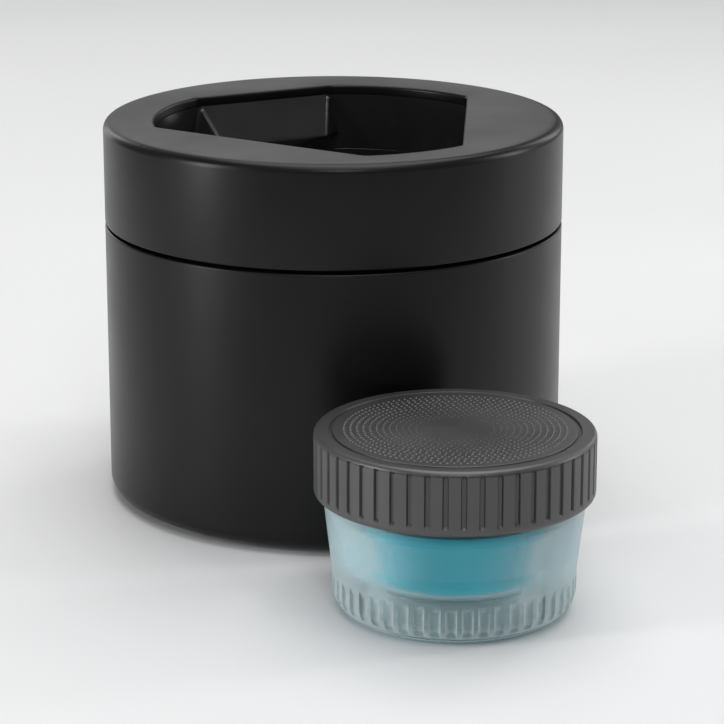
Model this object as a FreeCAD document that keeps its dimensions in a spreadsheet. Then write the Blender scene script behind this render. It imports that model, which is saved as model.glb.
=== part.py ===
import FreeCAD, Part
import math
import os

import Sketcher
from FreeCAD import Placement, Rotation, Vector

# Shaver cleaning pod with its capped fluid cartridge standing in front of it.
# Millimetres. +Z is up, the front is -Y, and the origin is on the pod's axis at the surface it stands on.

DIMENSIONS = {
    # pod, outside
    "pod_radius": 48.5,
    "seam_height": 59,
    "seam_gap": 0.7,
    "seam_round": 0.4,
    "housing_wall": 2.4,
    "rim_thickness": 2.4,
    "rim_round": 1.8,
    "base_round": 2.8,
    "base_gap": 1.2,
    # opening in the rim
    "rim_width": 10.7,
    "tab_reach": 10.1,
    "tab_angle": 60,
    "back_reach": 3.8,
    "corner_round": 2.5,
    "edge_round": 0.6,
    # bowl under the rim
    "bowl_wall": 2,
    "bowl_depth": 31,
    "bowl_round": 14,
    "bowl_floor": 3.4,
    "bowl_flange": 1,
    "tab_depth": 11,
    "guide_lap": 1.6,
    "chute_reach": 5.5,
    "chute_depth": 8,
    "chute_width": 31.2,
    "chute_low_width": 25.2,
    "chute_back_angle": 10,
    "lobe_radius": 10.1,
    "lobe_land": 1.1,
    "lobe_depth": 2,
    "lobe_count": 3,
    "suction_radius": 2.4,
    "drain_radius": 1.2,
    "drain_inset": 3.4,
    "drain_spread": 18,
    "strainer_thickness": 0.8,
    "strainer_width": 4,
    "strainer_hole": 0.5,
    "strainer_holes": 30,
    # duct under the bowl
    "manifold_margin": 1.1,
    "manifold_height": 4,
    "manifold_wall": 1.5,
    "spigot_radius": 4.6,
    "spigot_bore": 2.6,
    "spigot_length": 8,
    "ring_section": 0.9,
    "ring_rise": 3.5,
    # bayonet between the two halves
    "skirt_wall": 1.6,
    "skirt_drop": 8,
    "lug_clearance": 0.8,
    "lug_thickness": 2.4,
    "lug_angle": 16,
    "lug_count": 3,
    "catch_angle": 20,
    "catch_gap": 0.5,
    "turn_angle": 24,
    "clamp_thickness": 2.4,
    "clamp_offset": 2.1,
    "boss_radius": 2.6,
    "seal_round": 0.3,
    # base, inside
    "flange_thickness": 2,
    "flange_reach": 12.1,
    "heel": 2,
    "plate_thickness": 1.8,
    "foot_inset": 3.1,
    "foot_width": 4,
    "foot_key": 0.8,
    "foot_round": 0.5,
    "cradle_wall": 1.8,
    "cradle_floor": 10,
    "bay_round": 1.2,
    "deck_height": 38,
    "deck_thickness": 2,
    "deck_round": 0.8,
    "clamp_rim_width": 1.5,
    "clamp_rim_thickness": 1.2,
    "collar_wall": 1.6,
    "collar_depth": 8,
    "rib_count": 9,
    "rib_thickness": 1.6,
    "rib_depth": 16,
    "rib_inset": 2.3,
    "rib_foot": 6,
    # screws
    "screw_inset": 4.7,
    "screw_count": 3,
    "screw_radius": 1.3,
    "screw_length": 5,
    "head_radius": 1.8,
    "head_height": 1.1,
    # where the cartridge stands
    "stand_gap": 3.6,
    "stand_bearing": 9.5,
    # cartridge cup
    "cup_radius": 25.1,
    "cup_taper": 1.5,
    "cup_round": 5,
    "cup_wall": 1.4,
    "cup_shoulder": 23,
    "cup_floor": 8.5,
    "cup_rim_width": 6.6,
    "inner_round": 3,
    "shoulder_step": 1.9,
    "neck_length": 9.9,
    "flute_count": 48,
    "flute_radius": 0.8,
    "flute_depth": 0.5,
    "flute_start": 2.6,
    "fluid_drop": 1.8,
    # cartridge insert
    "insert_drop": 1.9,
    "insert_thickness": 1.6,
    "insert_skirt": 5,
    "socket_length": 7,
    "socket_wall": 1.4,
    "slot_radius": 2.6,
    "slot_land": 2.2,
    "slot_count": 8,
    "mesh_margin": 0.4,
    "mesh_length": 7,
    "mesh_thickness": 0.8,
    "tube_radius": 3.2,
    "tube_wall": 0.8,
    "tube_gap": 2.5,
    # screw cap
    "thread_space": 1.8,
    "cap_wall": 2,
    "cap_top": 1.6,
    "cap_round": 1,
    "cap_lip": 1.6,
    "cap_ribs": 50,
    "groove_width": 1.1,
    "groove_depth": 0.6,
    "groove_end": 1.3,
    "ring_groove_inset": 3.6,
    "ring_groove_width": 0.7,
    "ring_groove_depth": 0.5,
    "liner_thickness": 1,
    # clearances
    "touch_clearance": 0.1,
    "fit_clearance": 0.3,
    "slide_clearance": 0.6,
}

doc = FreeCAD.newDocument("cleaning_pod")
sheet = doc.addObject("Spreadsheet::Sheet", "dim")
for row, (alias, number) in enumerate(DIMENSIONS.items(), 1):
    sheet.set(f"A{row}", alias)
    sheet.set(f"B{row}", str(number))
    sheet.setAlias(f"B{row}", alias)
doc.recompute()


def size(expression):
    """The present value of an expression in the sheet's names."""
    return float(sheet.evalExpression(expand(expression)))


def expand(expression):
    """Writes each of the sheet's names as dim.name, as an expression of another object needs it."""
    words = []
    word = ""
    for letter in expression + " ":
        if letter.isalnum() or letter == "_":
            word += letter
            continue
        words.append(f"dim.{word}" if word in DIMENSIONS else word)
        words.append(letter)
        word = ""
    return "".join(words).strip()


def bind(thing, prop, expression):
    thing.setExpression(prop, expand(expression))


def new_body(label):
    body = doc.addObject("PartDesign::Body", label)
    body.Label = label
    return body


def origin_part(body, role):
    return next(f for f in body.Origin.OriginFeatures if f.Role == role)


def new_sketch(body, name, plane, lift=None):
    """A sketch on one of the body's own origin planes, lifted along that plane's normal."""
    sketch = body.newObject("Sketcher::SketchObject", name)
    sketch.AttachmentSupport = [(origin_part(body, plane), "")]
    sketch.MapMode = "FlatFace"
    if lift:
        bind(sketch, "AttachmentOffset.Base.z", lift)
    return sketch


def fix_point(sketch, geo, pos, point):
    """Ties one end of a sketch element to the two expressions of its place."""
    for kind, axis, expression in (("DistanceX", -2, point[0]), ("DistanceY", -1, point[1])):
        if expression == "0":
            sketch.addConstraint(Sketcher.Constraint("PointOnObject", geo, pos, axis))
        else:
            index = sketch.addConstraint(Sketcher.Constraint(kind, -1, 1, geo, pos, size(expression)))
            bind(sketch, f"Constraints[{index}]", expression)


def step(expression, change, radius):
    """The expression moved by the radius, up or down, or left as it is."""
    if change > 0:
        return f"{expression} + ({radius})"
    if change < 0:
        return f"{expression} - ({radius})"
    return expression


def sign(number):
    return 0 if abs(number) < 1e-6 else math.copysign(1, number)


def outline(sketch, corners):
    """A closed outline of (x, y[, radius]) corners. A rounded one lies between level and upright lines."""
    count = len(corners)
    places = [Vector(size(c[0]), size(c[1]), 0) for c in corners]
    elements = []  # (start expressions, end expressions, centre, radius expression)
    entries = []
    exits = []
    for i, corner in enumerate(corners):
        back = places[i - 1] - places[i]
        ahead = places[(i + 1) % count] - places[i]
        if len(corner) < 3:
            entries.append(corner[:2])
            exits.append(corner[:2])
            continue
        x, y, radius = corner
        entries.append((step(x, sign(back.x), radius), step(y, sign(back.y), radius)))
        exits.append((step(x, sign(ahead.x), radius), step(y, sign(ahead.y), radius)))
        turn = (back * -1).cross(ahead).z
        centre = places[i] + Vector(
            (sign(back.x) + sign(ahead.x)) * size(radius), (sign(back.y) + sign(ahead.y)) * size(radius), 0
        )
        elements.append((i, "arc", entries[i], exits[i], centre, radius, turn))
    for i in range(count):
        elements.append((i + 0.5, "line", exits[i], entries[(i + 1) % count], None, None, 0))
    made = []
    for _, kind, start, end, centre, radius, turn in sorted(elements, key=lambda e: e[0]):
        a = Vector(size(start[0]), size(start[1]), 0)
        b = Vector(size(end[0]), size(end[1]), 0)
        if kind == "line":
            geo = sketch.addGeometry(Part.LineSegment(a, b), False)
            first, last = 1, 2
        else:
            low, high = (a, b) if turn > 0 else (b, a)
            first, last = (1, 2) if turn > 0 else (2, 1)
            spin = [math.atan2(p.y - centre.y, p.x - centre.x) for p in (low, high)]
            circle = Part.Circle(centre, Vector(0, 0, 1), size(radius))
            geo = sketch.addGeometry(Part.ArcOfCircle(circle, spin[0], spin[1]), False)
            index = sketch.addConstraint(Sketcher.Constraint("Radius", geo, size(radius)))
            bind(sketch, f"Constraints[{index}]", radius)
        fix_point(sketch, geo, first, start)
        made.append((geo, first, last))
    for (geo, _, last), (following, first, _) in zip(made, made[1:] + made[:1]):
        sketch.addConstraint(Sketcher.Constraint("Coincident", geo, last, following, first))


def disc(sketch, radius, x="0", y="0"):
    """A circle in a sketch, about a place given by expressions."""
    place = Vector(size(x), size(y), 0)
    geo = sketch.addGeometry(Part.Circle(place, Vector(0, 0, 1), size(radius)), False)
    fix_point(sketch, geo, 3, (x, y))
    index = sketch.addConstraint(Sketcher.Constraint("Radius", geo, size(radius)))
    bind(sketch, f"Constraints[{index}]", radius)


def revolve(body, name, corners, cut=False, angle=None):
    """Turns an outline in the XZ plane about the body's Z axis, all round or centred on that plane."""
    sketch = new_sketch(body, f"{name}_profile", "XZ_Plane")
    outline(sketch, corners)
    kind = "PartDesign::Groove" if cut else "PartDesign::Revolution"
    feature = body.newObject(kind, name)
    feature.Profile = sketch
    feature.ReferenceAxis = (sketch, ["V_Axis"])
    feature.Angle = 360
    if angle:
        feature.Midplane = True
        bind(feature, "Angle", angle)
    return feature


def pad(body, name, sketch, length):
    feature = body.newObject("PartDesign::Pad", name)
    feature.Profile = sketch
    bind(feature, "Length", length)
    return feature


def pocket(body, name, sketch, length, upwards=False, midplane=False):
    """Cuts down from the sketch, or up from it, or to both sides of it."""
    feature = body.newObject("PartDesign::Pocket", name)
    feature.Profile = sketch
    feature.Reversed = upwards
    feature.Midplane = midplane
    bind(feature, "Length", length)
    return feature


def repeat(body, name, features, count):
    """Copies features round the body's Z axis."""
    pattern = body.newObject("PartDesign::PolarPattern", name)
    pattern.Originals = features
    pattern.Axis = (origin_part(body, "Z_Axis"), [""])
    pattern.Angle = 360
    bind(pattern, "Occurrences", count)
    body.Tip = pattern
    return pattern


def stand_at_cartridge(body):
    """Moves a whole body out to the cartridge's own axis, a little to the left of the front."""
    bind(body, "Placement.Base.x", f"0 - ({STAND_DISTANCE}) * sin(stand_bearing * 1 deg)")
    bind(body, "Placement.Base.y", f"0 - ({STAND_DISTANCE}) * cos(stand_bearing * 1 deg)")


def turned(body, angle):
    """Turns a whole body about the pod's axis."""
    body.Placement = Placement(Vector(0, 0, 0), Rotation(Vector(0, 0, 1), size(angle)))
    bind(body, "Placement.Rotation.Angle", angle)


# ---- radii and heights that several pieces share, from the cartridge up to the rim
CUP_FOOT = "cup_radius - cup_taper"
NECK_RADIUS = "cup_radius - shoulder_step"
NECK_TOP = "cup_shoulder + neck_length"
INSERT_TOP = f"{NECK_TOP} - insert_drop"
INSERT_LOW = f"{INSERT_TOP} - insert_thickness"
HUB_FLOOR = f"{INSERT_TOP} - socket_length"
HUB_LOW = f"{HUB_FLOOR} - insert_thickness"
SOCKET_RADIUS = "spigot_radius + ring_section + fit_clearance"
SLOT_CIRCLE = f"{SOCKET_RADIUS} + socket_wall + slot_land + slot_radius"
MESH_RADIUS = f"{SLOT_CIRCLE} + slot_radius + mesh_margin"
TUBE_END = "cup_floor + tube_gap"
LINER_LOW = f"{NECK_TOP} + fit_clearance"
LINER_HIGH = f"{LINER_LOW} + liner_thickness"
CAP_LOW = "cup_shoulder + fit_clearance"
CAP_UNDER = f"{LINER_HIGH} + touch_clearance"
CAP_HIGH = f"{CAP_UNDER} + cap_top"
CAP_BORE = f"{NECK_RADIUS} + thread_space"
CAP_RADIUS = f"{CAP_BORE} + cap_wall"
CAP_RING = f"{CAP_RADIUS} - ring_groove_inset"
STAND_DISTANCE = f"pod_radius + {CAP_RADIUS} + stand_gap"
HOUSING_BORE = "pod_radius - housing_wall"
PLATE_RECESS = f"{HOUSING_BORE} - heel"
FOOT_RADIUS = f"{PLATE_RECESS} - foot_inset"
PLATE_TOP = "base_gap + plate_thickness"
PLATE_SEAT = "base_gap + head_height - fit_clearance"
FLANGE_TOP = f"{PLATE_TOP} + flange_thickness"
BAY_RADIUS = "cup_radius + slide_clearance"
CRADLE_UNDER = "cradle_floor - cradle_wall"
DECK_UNDER = "deck_height - deck_thickness"
CRADLE_TOP = "deck_height + touch_clearance + clamp_rim_thickness"
COLLAR_BORE = f"{BAY_RADIUS} + cradle_wall + touch_clearance"
BASE_CIRCLE = f"{BAY_RADIUS} - screw_inset"
SPIGOT_LOW = f"cradle_floor + {HUB_FLOOR} + slide_clearance"
RING_HEIGHT = f"{SPIGOT_LOW} + ring_rise"
MANIFOLD_LOW = f"{SPIGOT_LOW} + spigot_length"
BOWL_UNDER = f"{MANIFOLD_LOW} + manifold_height"
BOWL_FLOOR = f"{BOWL_UNDER} + bowl_floor"
POD_HEIGHT = f"{BOWL_FLOOR} + bowl_depth"
RIM_UNDER = f"{POD_HEIGHT} - rim_thickness"
TAB_LOW = f"{RIM_UNDER} - tab_depth"
GUIDE_LOW = f"{TAB_LOW} + touch_clearance"
STRAINER_LOW = f"{BOWL_UNDER} - strainer_thickness"
OPENING_RADIUS = "pod_radius - rim_width"
TAB_DISTANCE = f"{OPENING_RADIUS} - tab_reach"
BACK_DISTANCE = f"{OPENING_RADIUS} - back_reach"
BOWL_OUTER = f"{OPENING_RADIUS} + bowl_wall"
LAP_RADIUS = f"{OPENING_RADIUS} + bowl_wall / 2"
BOWL_FLAT = f"{OPENING_RADIUS} - bowl_round"
LOBE_PITCH = f"{BOWL_FLAT} - lobe_radius - lobe_land"
DRAIN_CIRCLE = f"{BOWL_FLAT} - drain_inset"
MANIFOLD_RADIUS = f"{LOBE_PITCH} + suction_radius + manifold_margin + manifold_wall"
SKIRT_INNER = f"{BOWL_OUTER} + fit_clearance"
SKIRT_OUTER = f"{SKIRT_INNER} + skirt_wall"
LUG_LOW = "seam_height - skirt_drop"
LUG_HIGH = f"{LUG_LOW} + lug_thickness"
CATCH_LOW = f"{LUG_HIGH} + catch_gap"
CATCH_HIGH = f"{CATCH_LOW} + lug_thickness"
SEAL_LOW = f"{CATCH_HIGH} + fit_clearance"
UPPER_EDGE = "seam_height + seam_gap"
CLAMP_LOW = f"{UPPER_EDGE} + fit_clearance"
CLAMP_HIGH = f"{CLAMP_LOW} + clamp_thickness"
CLAMP_SEAT = f"{CLAMP_LOW} + head_height"
CLAMP_CIRCLE = f"{SKIRT_OUTER} + clamp_offset"


def make_lower_housing():
    """Outer shell of the base: rounded foot edge, flange under the cradle, and the bayonet's catches."""
    body = new_body("lower_housing")
    revolve(
        body,
        "shell",
        [
            ("pod_radius", "base_gap", "base_round"),
            ("pod_radius", "seam_height", "seam_round"),
            (HOUSING_BORE, "seam_height"),
            (HOUSING_BORE, FLANGE_TOP),
            (f"{HOUSING_BORE} - flange_reach", FLANGE_TOP),
            (f"{HOUSING_BORE} - flange_reach", PLATE_TOP),
            (PLATE_RECESS, PLATE_TOP),
            (PLATE_RECESS, "base_gap"),
        ],
    )
    catch = revolve(
        body,
        "catch",
        [
            (f"{HOUSING_BORE} + housing_wall / 2", CATCH_LOW),
            (f"{HOUSING_BORE} + housing_wall / 2", CATCH_HIGH),
            (f"{SKIRT_OUTER} + catch_gap", CATCH_HIGH),
            (f"{SKIRT_OUTER} + catch_gap", CATCH_LOW),
        ],
        angle="catch_angle",
    )
    repeat(body, "catches", [catch], "lug_count")
    turned(body, "0 - turn_angle")
    return body


def make_foot_ring():
    """Soft ring that the pod stands on, keyed into the base plate."""
    body = new_body("foot_ring")
    revolve(
        body,
        "ring",
        [
            (FOOT_RADIUS, "0", "foot_round"),
            (FOOT_RADIUS, "base_gap + foot_key - touch_clearance"),
            (f"{FOOT_RADIUS} - foot_width", "base_gap + foot_key - touch_clearance"),
            (f"{FOOT_RADIUS} - foot_width", "0", "foot_round"),
        ],
    )
    return body


def make_base_plate():
    """Bottom cover with the groove for the foot ring and the screws' countersinks."""
    body = new_body("base_plate")
    revolve(
        body,
        "plate",
        [
            ("0", "base_gap"),
            (f"{PLATE_RECESS} - fit_clearance", "base_gap"),
            (f"{PLATE_RECESS} - fit_clearance", PLATE_TOP),
            ("0", PLATE_TOP),
        ],
    )
    revolve(
        body,
        "foot_groove",
        [
            (f"{FOOT_RADIUS} + fit_clearance", "base_gap - foot_key"),
            (f"{FOOT_RADIUS} + fit_clearance", "base_gap + foot_key"),
            (f"{FOOT_RADIUS} - foot_width - fit_clearance", "base_gap + foot_key"),
            (f"{FOOT_RADIUS} - foot_width - fit_clearance", "base_gap - foot_key"),
        ],
        cut=True,
    )
    hole = new_sketch(body, "screw_hole_outline", "XY_Plane", lift=PLATE_TOP)
    disc(hole, "screw_radius + fit_clearance", BASE_CIRCLE)
    through = pocket(body, "screw_hole", hole, "plate_thickness")
    bore = new_sketch(body, "head_bore_outline", "XY_Plane", lift=PLATE_SEAT)
    disc(bore, "head_radius + fit_clearance", BASE_CIRCLE)
    seat = pocket(body, "head_bore", bore, "head_height")
    repeat(body, "screw_holes", [through, seat], "screw_count")
    return body


def make_screws(label, low, circle):
    """A group of pan-head screws round the axis, heads down, shanks pointing up."""
    body = new_body(label)
    body.AllowCompound = True
    shank = new_sketch(body, "shank_outline", "XY_Plane", lift=low)
    disc(shank, "screw_radius", circle)
    shank_pad = pad(body, "shank", shank, "screw_length")
    head = new_sketch(body, "head_outline", "XY_Plane", lift=f"{low} - head_height")
    disc(head, "head_radius", circle)
    head_pad = pad(body, "head", head, "head_height")
    repeat(body, "screws", [shank_pad, head_pad], "screw_count")
    return body


def make_cradle():
    """Cup that the cartridge drops into, with bosses for the screws and a rim that clamps the deck."""
    body = new_body("cartridge_cradle")
    revolve(
        body,
        "cup",
        [
            (f"{BAY_RADIUS} + cradle_wall", PLATE_TOP),
            (f"{BAY_RADIUS} + cradle_wall", "deck_height + touch_clearance"),
            (f"{BAY_RADIUS} + cradle_wall + clamp_rim_width", "deck_height + touch_clearance"),
            (f"{BAY_RADIUS} + cradle_wall + clamp_rim_width", CRADLE_TOP),
            (BAY_RADIUS, CRADLE_TOP, "bay_round"),
            (BAY_RADIUS, "cradle_floor"),
            ("0", "cradle_floor"),
            ("0", CRADLE_UNDER),
            (BAY_RADIUS, CRADLE_UNDER),
            (BAY_RADIUS, PLATE_TOP),
        ],
    )
    boss = new_sketch(body, "boss_outline", "XY_Plane", lift=PLATE_TOP)
    disc(boss, "boss_radius", BASE_CIRCLE)
    disc(boss, "screw_radius + touch_clearance", BASE_CIRCLE)
    boss_pad = pad(body, "boss", boss, f"{CRADLE_UNDER} - ({PLATE_TOP})")
    repeat(body, "bosses", [boss_pad], "screw_count")
    return body


def make_deck():
    """Deck round the cradle: a collar under the cradle's rim, and ribs that stand on the shell's flange."""
    body = new_body("cradle_deck")
    revolve(
        body,
        "plate_and_collar",
        [
            (COLLAR_BORE, "deck_height"),
            (f"{HOUSING_BORE} - fit_clearance", "deck_height", "deck_round"),
            (f"{HOUSING_BORE} - fit_clearance", DECK_UNDER),
            (f"{COLLAR_BORE} + collar_wall", DECK_UNDER),
            (f"{COLLAR_BORE} + collar_wall", f"{DECK_UNDER} - collar_depth"),
            (COLLAR_BORE, f"{DECK_UNDER} - collar_depth"),
        ],
    )
    rib = new_sketch(body, "rib_outline", "XZ_Plane")
    outline(
        rib,
        [
            (f"{COLLAR_BORE} + collar_wall / 2", f"{DECK_UNDER} + deck_thickness / 2"),
            (f"{HOUSING_BORE} - rib_inset", f"{DECK_UNDER} + deck_thickness / 2"),
            (f"{HOUSING_BORE} - rib_inset", f"{FLANGE_TOP} + touch_clearance"),
            (f"{HOUSING_BORE} - rib_inset - rib_foot", f"{FLANGE_TOP} + touch_clearance"),
            (f"{HOUSING_BORE} - rib_inset - rib_foot", f"{DECK_UNDER} - rib_depth"),
            (f"{COLLAR_BORE} + collar_wall / 2", f"{DECK_UNDER} - collar_depth"),
        ],
    )
    rib_pad = pad(body, "rib", rib, "rib_thickness")
    rib_pad.Midplane = True
    repeat(body, "ribs", [rib_pad], "rib_count")
    return body


def make_top_seal():
    """Ring between the two halves, above the catches."""
    body = new_body("top_seal")
    revolve(
        body,
        "ring",
        [
            (f"{HOUSING_BORE} - fit_clearance", SEAL_LOW),
            (f"{HOUSING_BORE} - fit_clearance", "seam_height - fit_clearance", "seal_round"),
            (f"{SKIRT_OUTER} + fit_clearance", "seam_height - fit_clearance", "seal_round"),
            (f"{SKIRT_OUTER} + fit_clearance", SEAL_LOW),
        ],
    )
    return body


def opening_outline(sketch):
    """Three arcs of the opening joined by three chords: a tab each side of the front, and the back edge."""
    radius = size(OPENING_RADIUS)
    front, back = -90, 90
    middle = [
        (front + size("tab_angle"), TAB_DISTANCE),
        (back, BACK_DISTANCE),
        (front - size("tab_angle") + 360, TAB_DISTANCE),
    ]
    spans = []
    for bearing, distance in middle:
        half = math.degrees(math.acos(size(distance) / radius))
        spans.append((bearing - half, bearing + half, distance))
    chords = []
    for start, end, distance in spans:
        bearings = (math.radians(start), math.radians(end))
        ends = [Vector(math.cos(w), math.sin(w), 0) * radius for w in bearings]
        chords.append(sketch.addGeometry(Part.LineSegment(*ends), False))
        index = sketch.addConstraint(Sketcher.Constraint("Distance", -1, 1, chords[-1], size(distance)))
        bind(sketch, f"Constraints[{index}]", distance)
    circle = Part.Circle(Vector(0, 0, 0), Vector(0, 0, 1), radius)
    arcs = []
    for i in range(3):
        start = math.radians(spans[i][1])
        end = math.radians(spans[(i + 1) % 3][0])
        arcs.append(sketch.addGeometry(Part.ArcOfCircle(circle, start, end), False))
        sketch.addConstraint(Sketcher.Constraint("Coincident", arcs[-1], 3, -1, 1))
    for i in range(3):
        sketch.addConstraint(Sketcher.Constraint("Coincident", chords[i], 2, arcs[i], 1))
        sketch.addConstraint(Sketcher.Constraint("Coincident", arcs[i], 2, chords[(i + 1) % 3], 1))
    index = sketch.addConstraint(Sketcher.Constraint("Radius", arcs[0], radius))
    bind(sketch, f"Constraints[{index}]", OPENING_RADIUS)
    sketch.addConstraint(Sketcher.Constraint("Horizontal", chords[1]))
    for chord, lean in ((chords[0], "tab_angle"), (chords[2], "0 - tab_angle")):
        index = sketch.addConstraint(Sketcher.Constraint("Angle", chord, math.radians(size(lean))))
        bind(sketch, f"Constraints[{index}]", f"({lean}) * 1 deg")


def round_opening(body, feature, depth):
    """Rounds the upright corners where the opening's chords meet its arcs."""
    doc.recompute()
    names = []
    for number, edge in enumerate(feature.Shape.Edges, 1):
        ends = [v.Point for v in edge.Vertexes]
        if len(ends) < 2 or abs(abs(ends[0].z - ends[1].z) - size(depth)) > 1e-3:
            continue
        upright = Vector(ends[0].x - ends[1].x, ends[0].y - ends[1].y, 0).Length < 1e-6
        if upright and abs(math.hypot(ends[0].x, ends[0].y) - size(OPENING_RADIUS)) < 1e-3:
            names.append(f"Edge{number}")
    fillet = body.newObject("PartDesign::Fillet", f"{feature.Name}_corners")
    fillet.Base = (feature, names)
    bind(fillet, "Radius", "corner_round")
    return fillet


def round_rim_edge(body, feature):
    """Rounds the opening's upper edge, all the way round."""
    doc.recompute()
    names = []
    for number, edge in enumerate(feature.Shape.Edges, 1):
        ends = [v.Point for v in edge.Vertexes]
        level = all(abs(end.z - size(POD_HEIGHT)) < 1e-3 for end in ends)
        if level and all(math.hypot(end.x, end.y) < size(OPENING_RADIUS) + 1e-3 for end in ends):
            names.append(f"Edge{number}")
    fillet = body.newObject("PartDesign::Fillet", "opening_edge")
    fillet.Base = (feature, names)
    bind(fillet, "Radius", "edge_round")


def make_upper_housing():
    """Outer shell of the top: side wall, flat rim with the opening, and bosses for the clamp screws."""
    body = new_body("upper_housing")
    revolve(
        body,
        "shell",
        [
            ("pod_radius", UPPER_EDGE, "seam_round"),
            ("pod_radius", POD_HEIGHT, "rim_round"),
            ("0", POD_HEIGHT),
            ("0", RIM_UNDER),
            (HOUSING_BORE, RIM_UNDER),
            (HOUSING_BORE, UPPER_EDGE),
        ],
    )
    opening = new_sketch(body, "opening_outline", "XY_Plane", lift=POD_HEIGHT)
    opening_outline(opening)
    cut = pocket(body, "opening", opening, "rim_thickness")
    round_rim_edge(body, round_opening(body, cut, "rim_thickness"))
    boss = new_sketch(body, "boss_outline", "XY_Plane", lift=CLAMP_HIGH)
    disc(boss, "boss_radius", CLAMP_CIRCLE)
    disc(boss, "screw_radius + touch_clearance", CLAMP_CIRCLE)
    boss_pad = pad(body, "boss", boss, f"{RIM_UNDER} - ({CLAMP_HIGH})")
    repeat(body, "bosses", [boss_pad], "screw_count")
    return body


def chute_section(body, name, lift, width, face):
    """Level section of the chute: its face, a bevel of 45 degrees at each end, and a back within the wall."""
    back = f"({LAP_RADIUS} - touch_clearance)"
    aside = f"{back} * sin(chute_back_angle * 1 deg)"
    ahead = f"{back} * cos(chute_back_angle * 1 deg)"
    half = f"{width} / 2"
    bevel = f"(sqrt(2 * {back} ^ 2 - ({half} - ({face})) ^ 2) - {half} - ({face})) / 2"
    sketch = new_sketch(body, name, "XY_Plane", lift=lift)
    outline(
        sketch,
        [
            (f"0 - {half} - {bevel}", f"{face} + {bevel}"),
            (f"0 - {half}", face),
            (half, face),
            (f"{half} + {bevel}", f"{face} + {bevel}"),
            (aside, ahead),
            (f"0 - {aside}", ahead),
        ],
    )
    return sketch


def make_chute(body):
    """Panel behind the opening's back edge: it leans in and narrows on its way down, then hangs straight."""
    low_face = f"{BACK_DISTANCE} - chute_reach"
    top = chute_section(body, "chute_top_outline", RIM_UNDER, "chute_width", BACK_DISTANCE)
    low = chute_section(body, "chute_low_outline", f"{RIM_UNDER} - chute_depth", "chute_low_width", low_face)
    loft = body.newObject("PartDesign::AdditiveLoft", "chute")
    loft.Profile = top
    loft.Sections = [low]
    loft.Ruled = True
    hem = pad(body, "chute_hem", low, "tab_depth - chute_depth - touch_clearance")
    hem.Reversed = True


def hollow_tabs(body):
    """Hollows each tab from above, which leaves a wall and a floor of the bowl's thickness."""
    sketch = new_sketch(body, "tab_hollow_outline", "XY_Plane", lift=RIM_UNDER)
    radius = size(OPENING_RADIUS)
    reach = f"{TAB_DISTANCE} + bowl_wall"
    half = math.acos(size(reach) / radius)
    circle = Part.Circle(Vector(0, 0, 0), Vector(0, 0, 1), radius)
    for lean in ("tab_angle", "0 - tab_angle"):
        bearing = math.radians(size(lean)) - math.pi / 2
        ends = [Vector(math.cos(w), math.sin(w), 0) * radius for w in (bearing - half, bearing + half)]
        chord = sketch.addGeometry(Part.LineSegment(*ends), False)
        arc = sketch.addGeometry(Part.ArcOfCircle(circle, bearing - half, bearing + half), False)
        sketch.addConstraint(Sketcher.Constraint("Coincident", arc, 3, -1, 1))
        sketch.addConstraint(Sketcher.Constraint("Coincident", chord, 1, arc, 1))
        sketch.addConstraint(Sketcher.Constraint("Coincident", chord, 2, arc, 2))
        index = sketch.addConstraint(Sketcher.Constraint("Radius", arc, radius))
        bind(sketch, f"Constraints[{index}]", OPENING_RADIUS)
        index = sketch.addConstraint(Sketcher.Constraint("Distance", -1, 1, chord, size(reach)))
        bind(sketch, f"Constraints[{index}]", reach)
        index = sketch.addConstraint(Sketcher.Constraint("Angle", chord, math.radians(size(lean))))
        bind(sketch, f"Constraints[{index}]", f"({lean}) * 1 deg")
    pocket(body, "tab_hollow", sketch, "tab_depth - bowl_wall")


def make_guide():
    """Upper part of the bowl, welded onto its wall: the opening's outline carried down, tabs and chute."""
    body = new_body("bowl_guide")
    revolve(
        body,
        "plug",
        [
            ("0", GUIDE_LOW),
            (f"{LAP_RADIUS} - touch_clearance", GUIDE_LOW),
            (f"{LAP_RADIUS} - touch_clearance", f"{GUIDE_LOW} + guide_lap"),
            (BOWL_OUTER, f"{GUIDE_LOW} + guide_lap"),
            (BOWL_OUTER, f"{RIM_UNDER} - bowl_wall"),
            (f"{BOWL_OUTER} + bowl_flange", f"{RIM_UNDER} - bowl_wall"),
            (f"{BOWL_OUTER} + bowl_flange", RIM_UNDER),
            ("0", RIM_UNDER),
        ],
    )
    hollow_tabs(body)
    mouth = new_sketch(body, "mouth_outline", "XY_Plane", lift=RIM_UNDER)
    opening_outline(mouth)
    round_opening(body, pocket(body, "mouth", mouth, "tab_depth"), "tab_depth - touch_clearance")
    make_chute(body)
    return body


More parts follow.
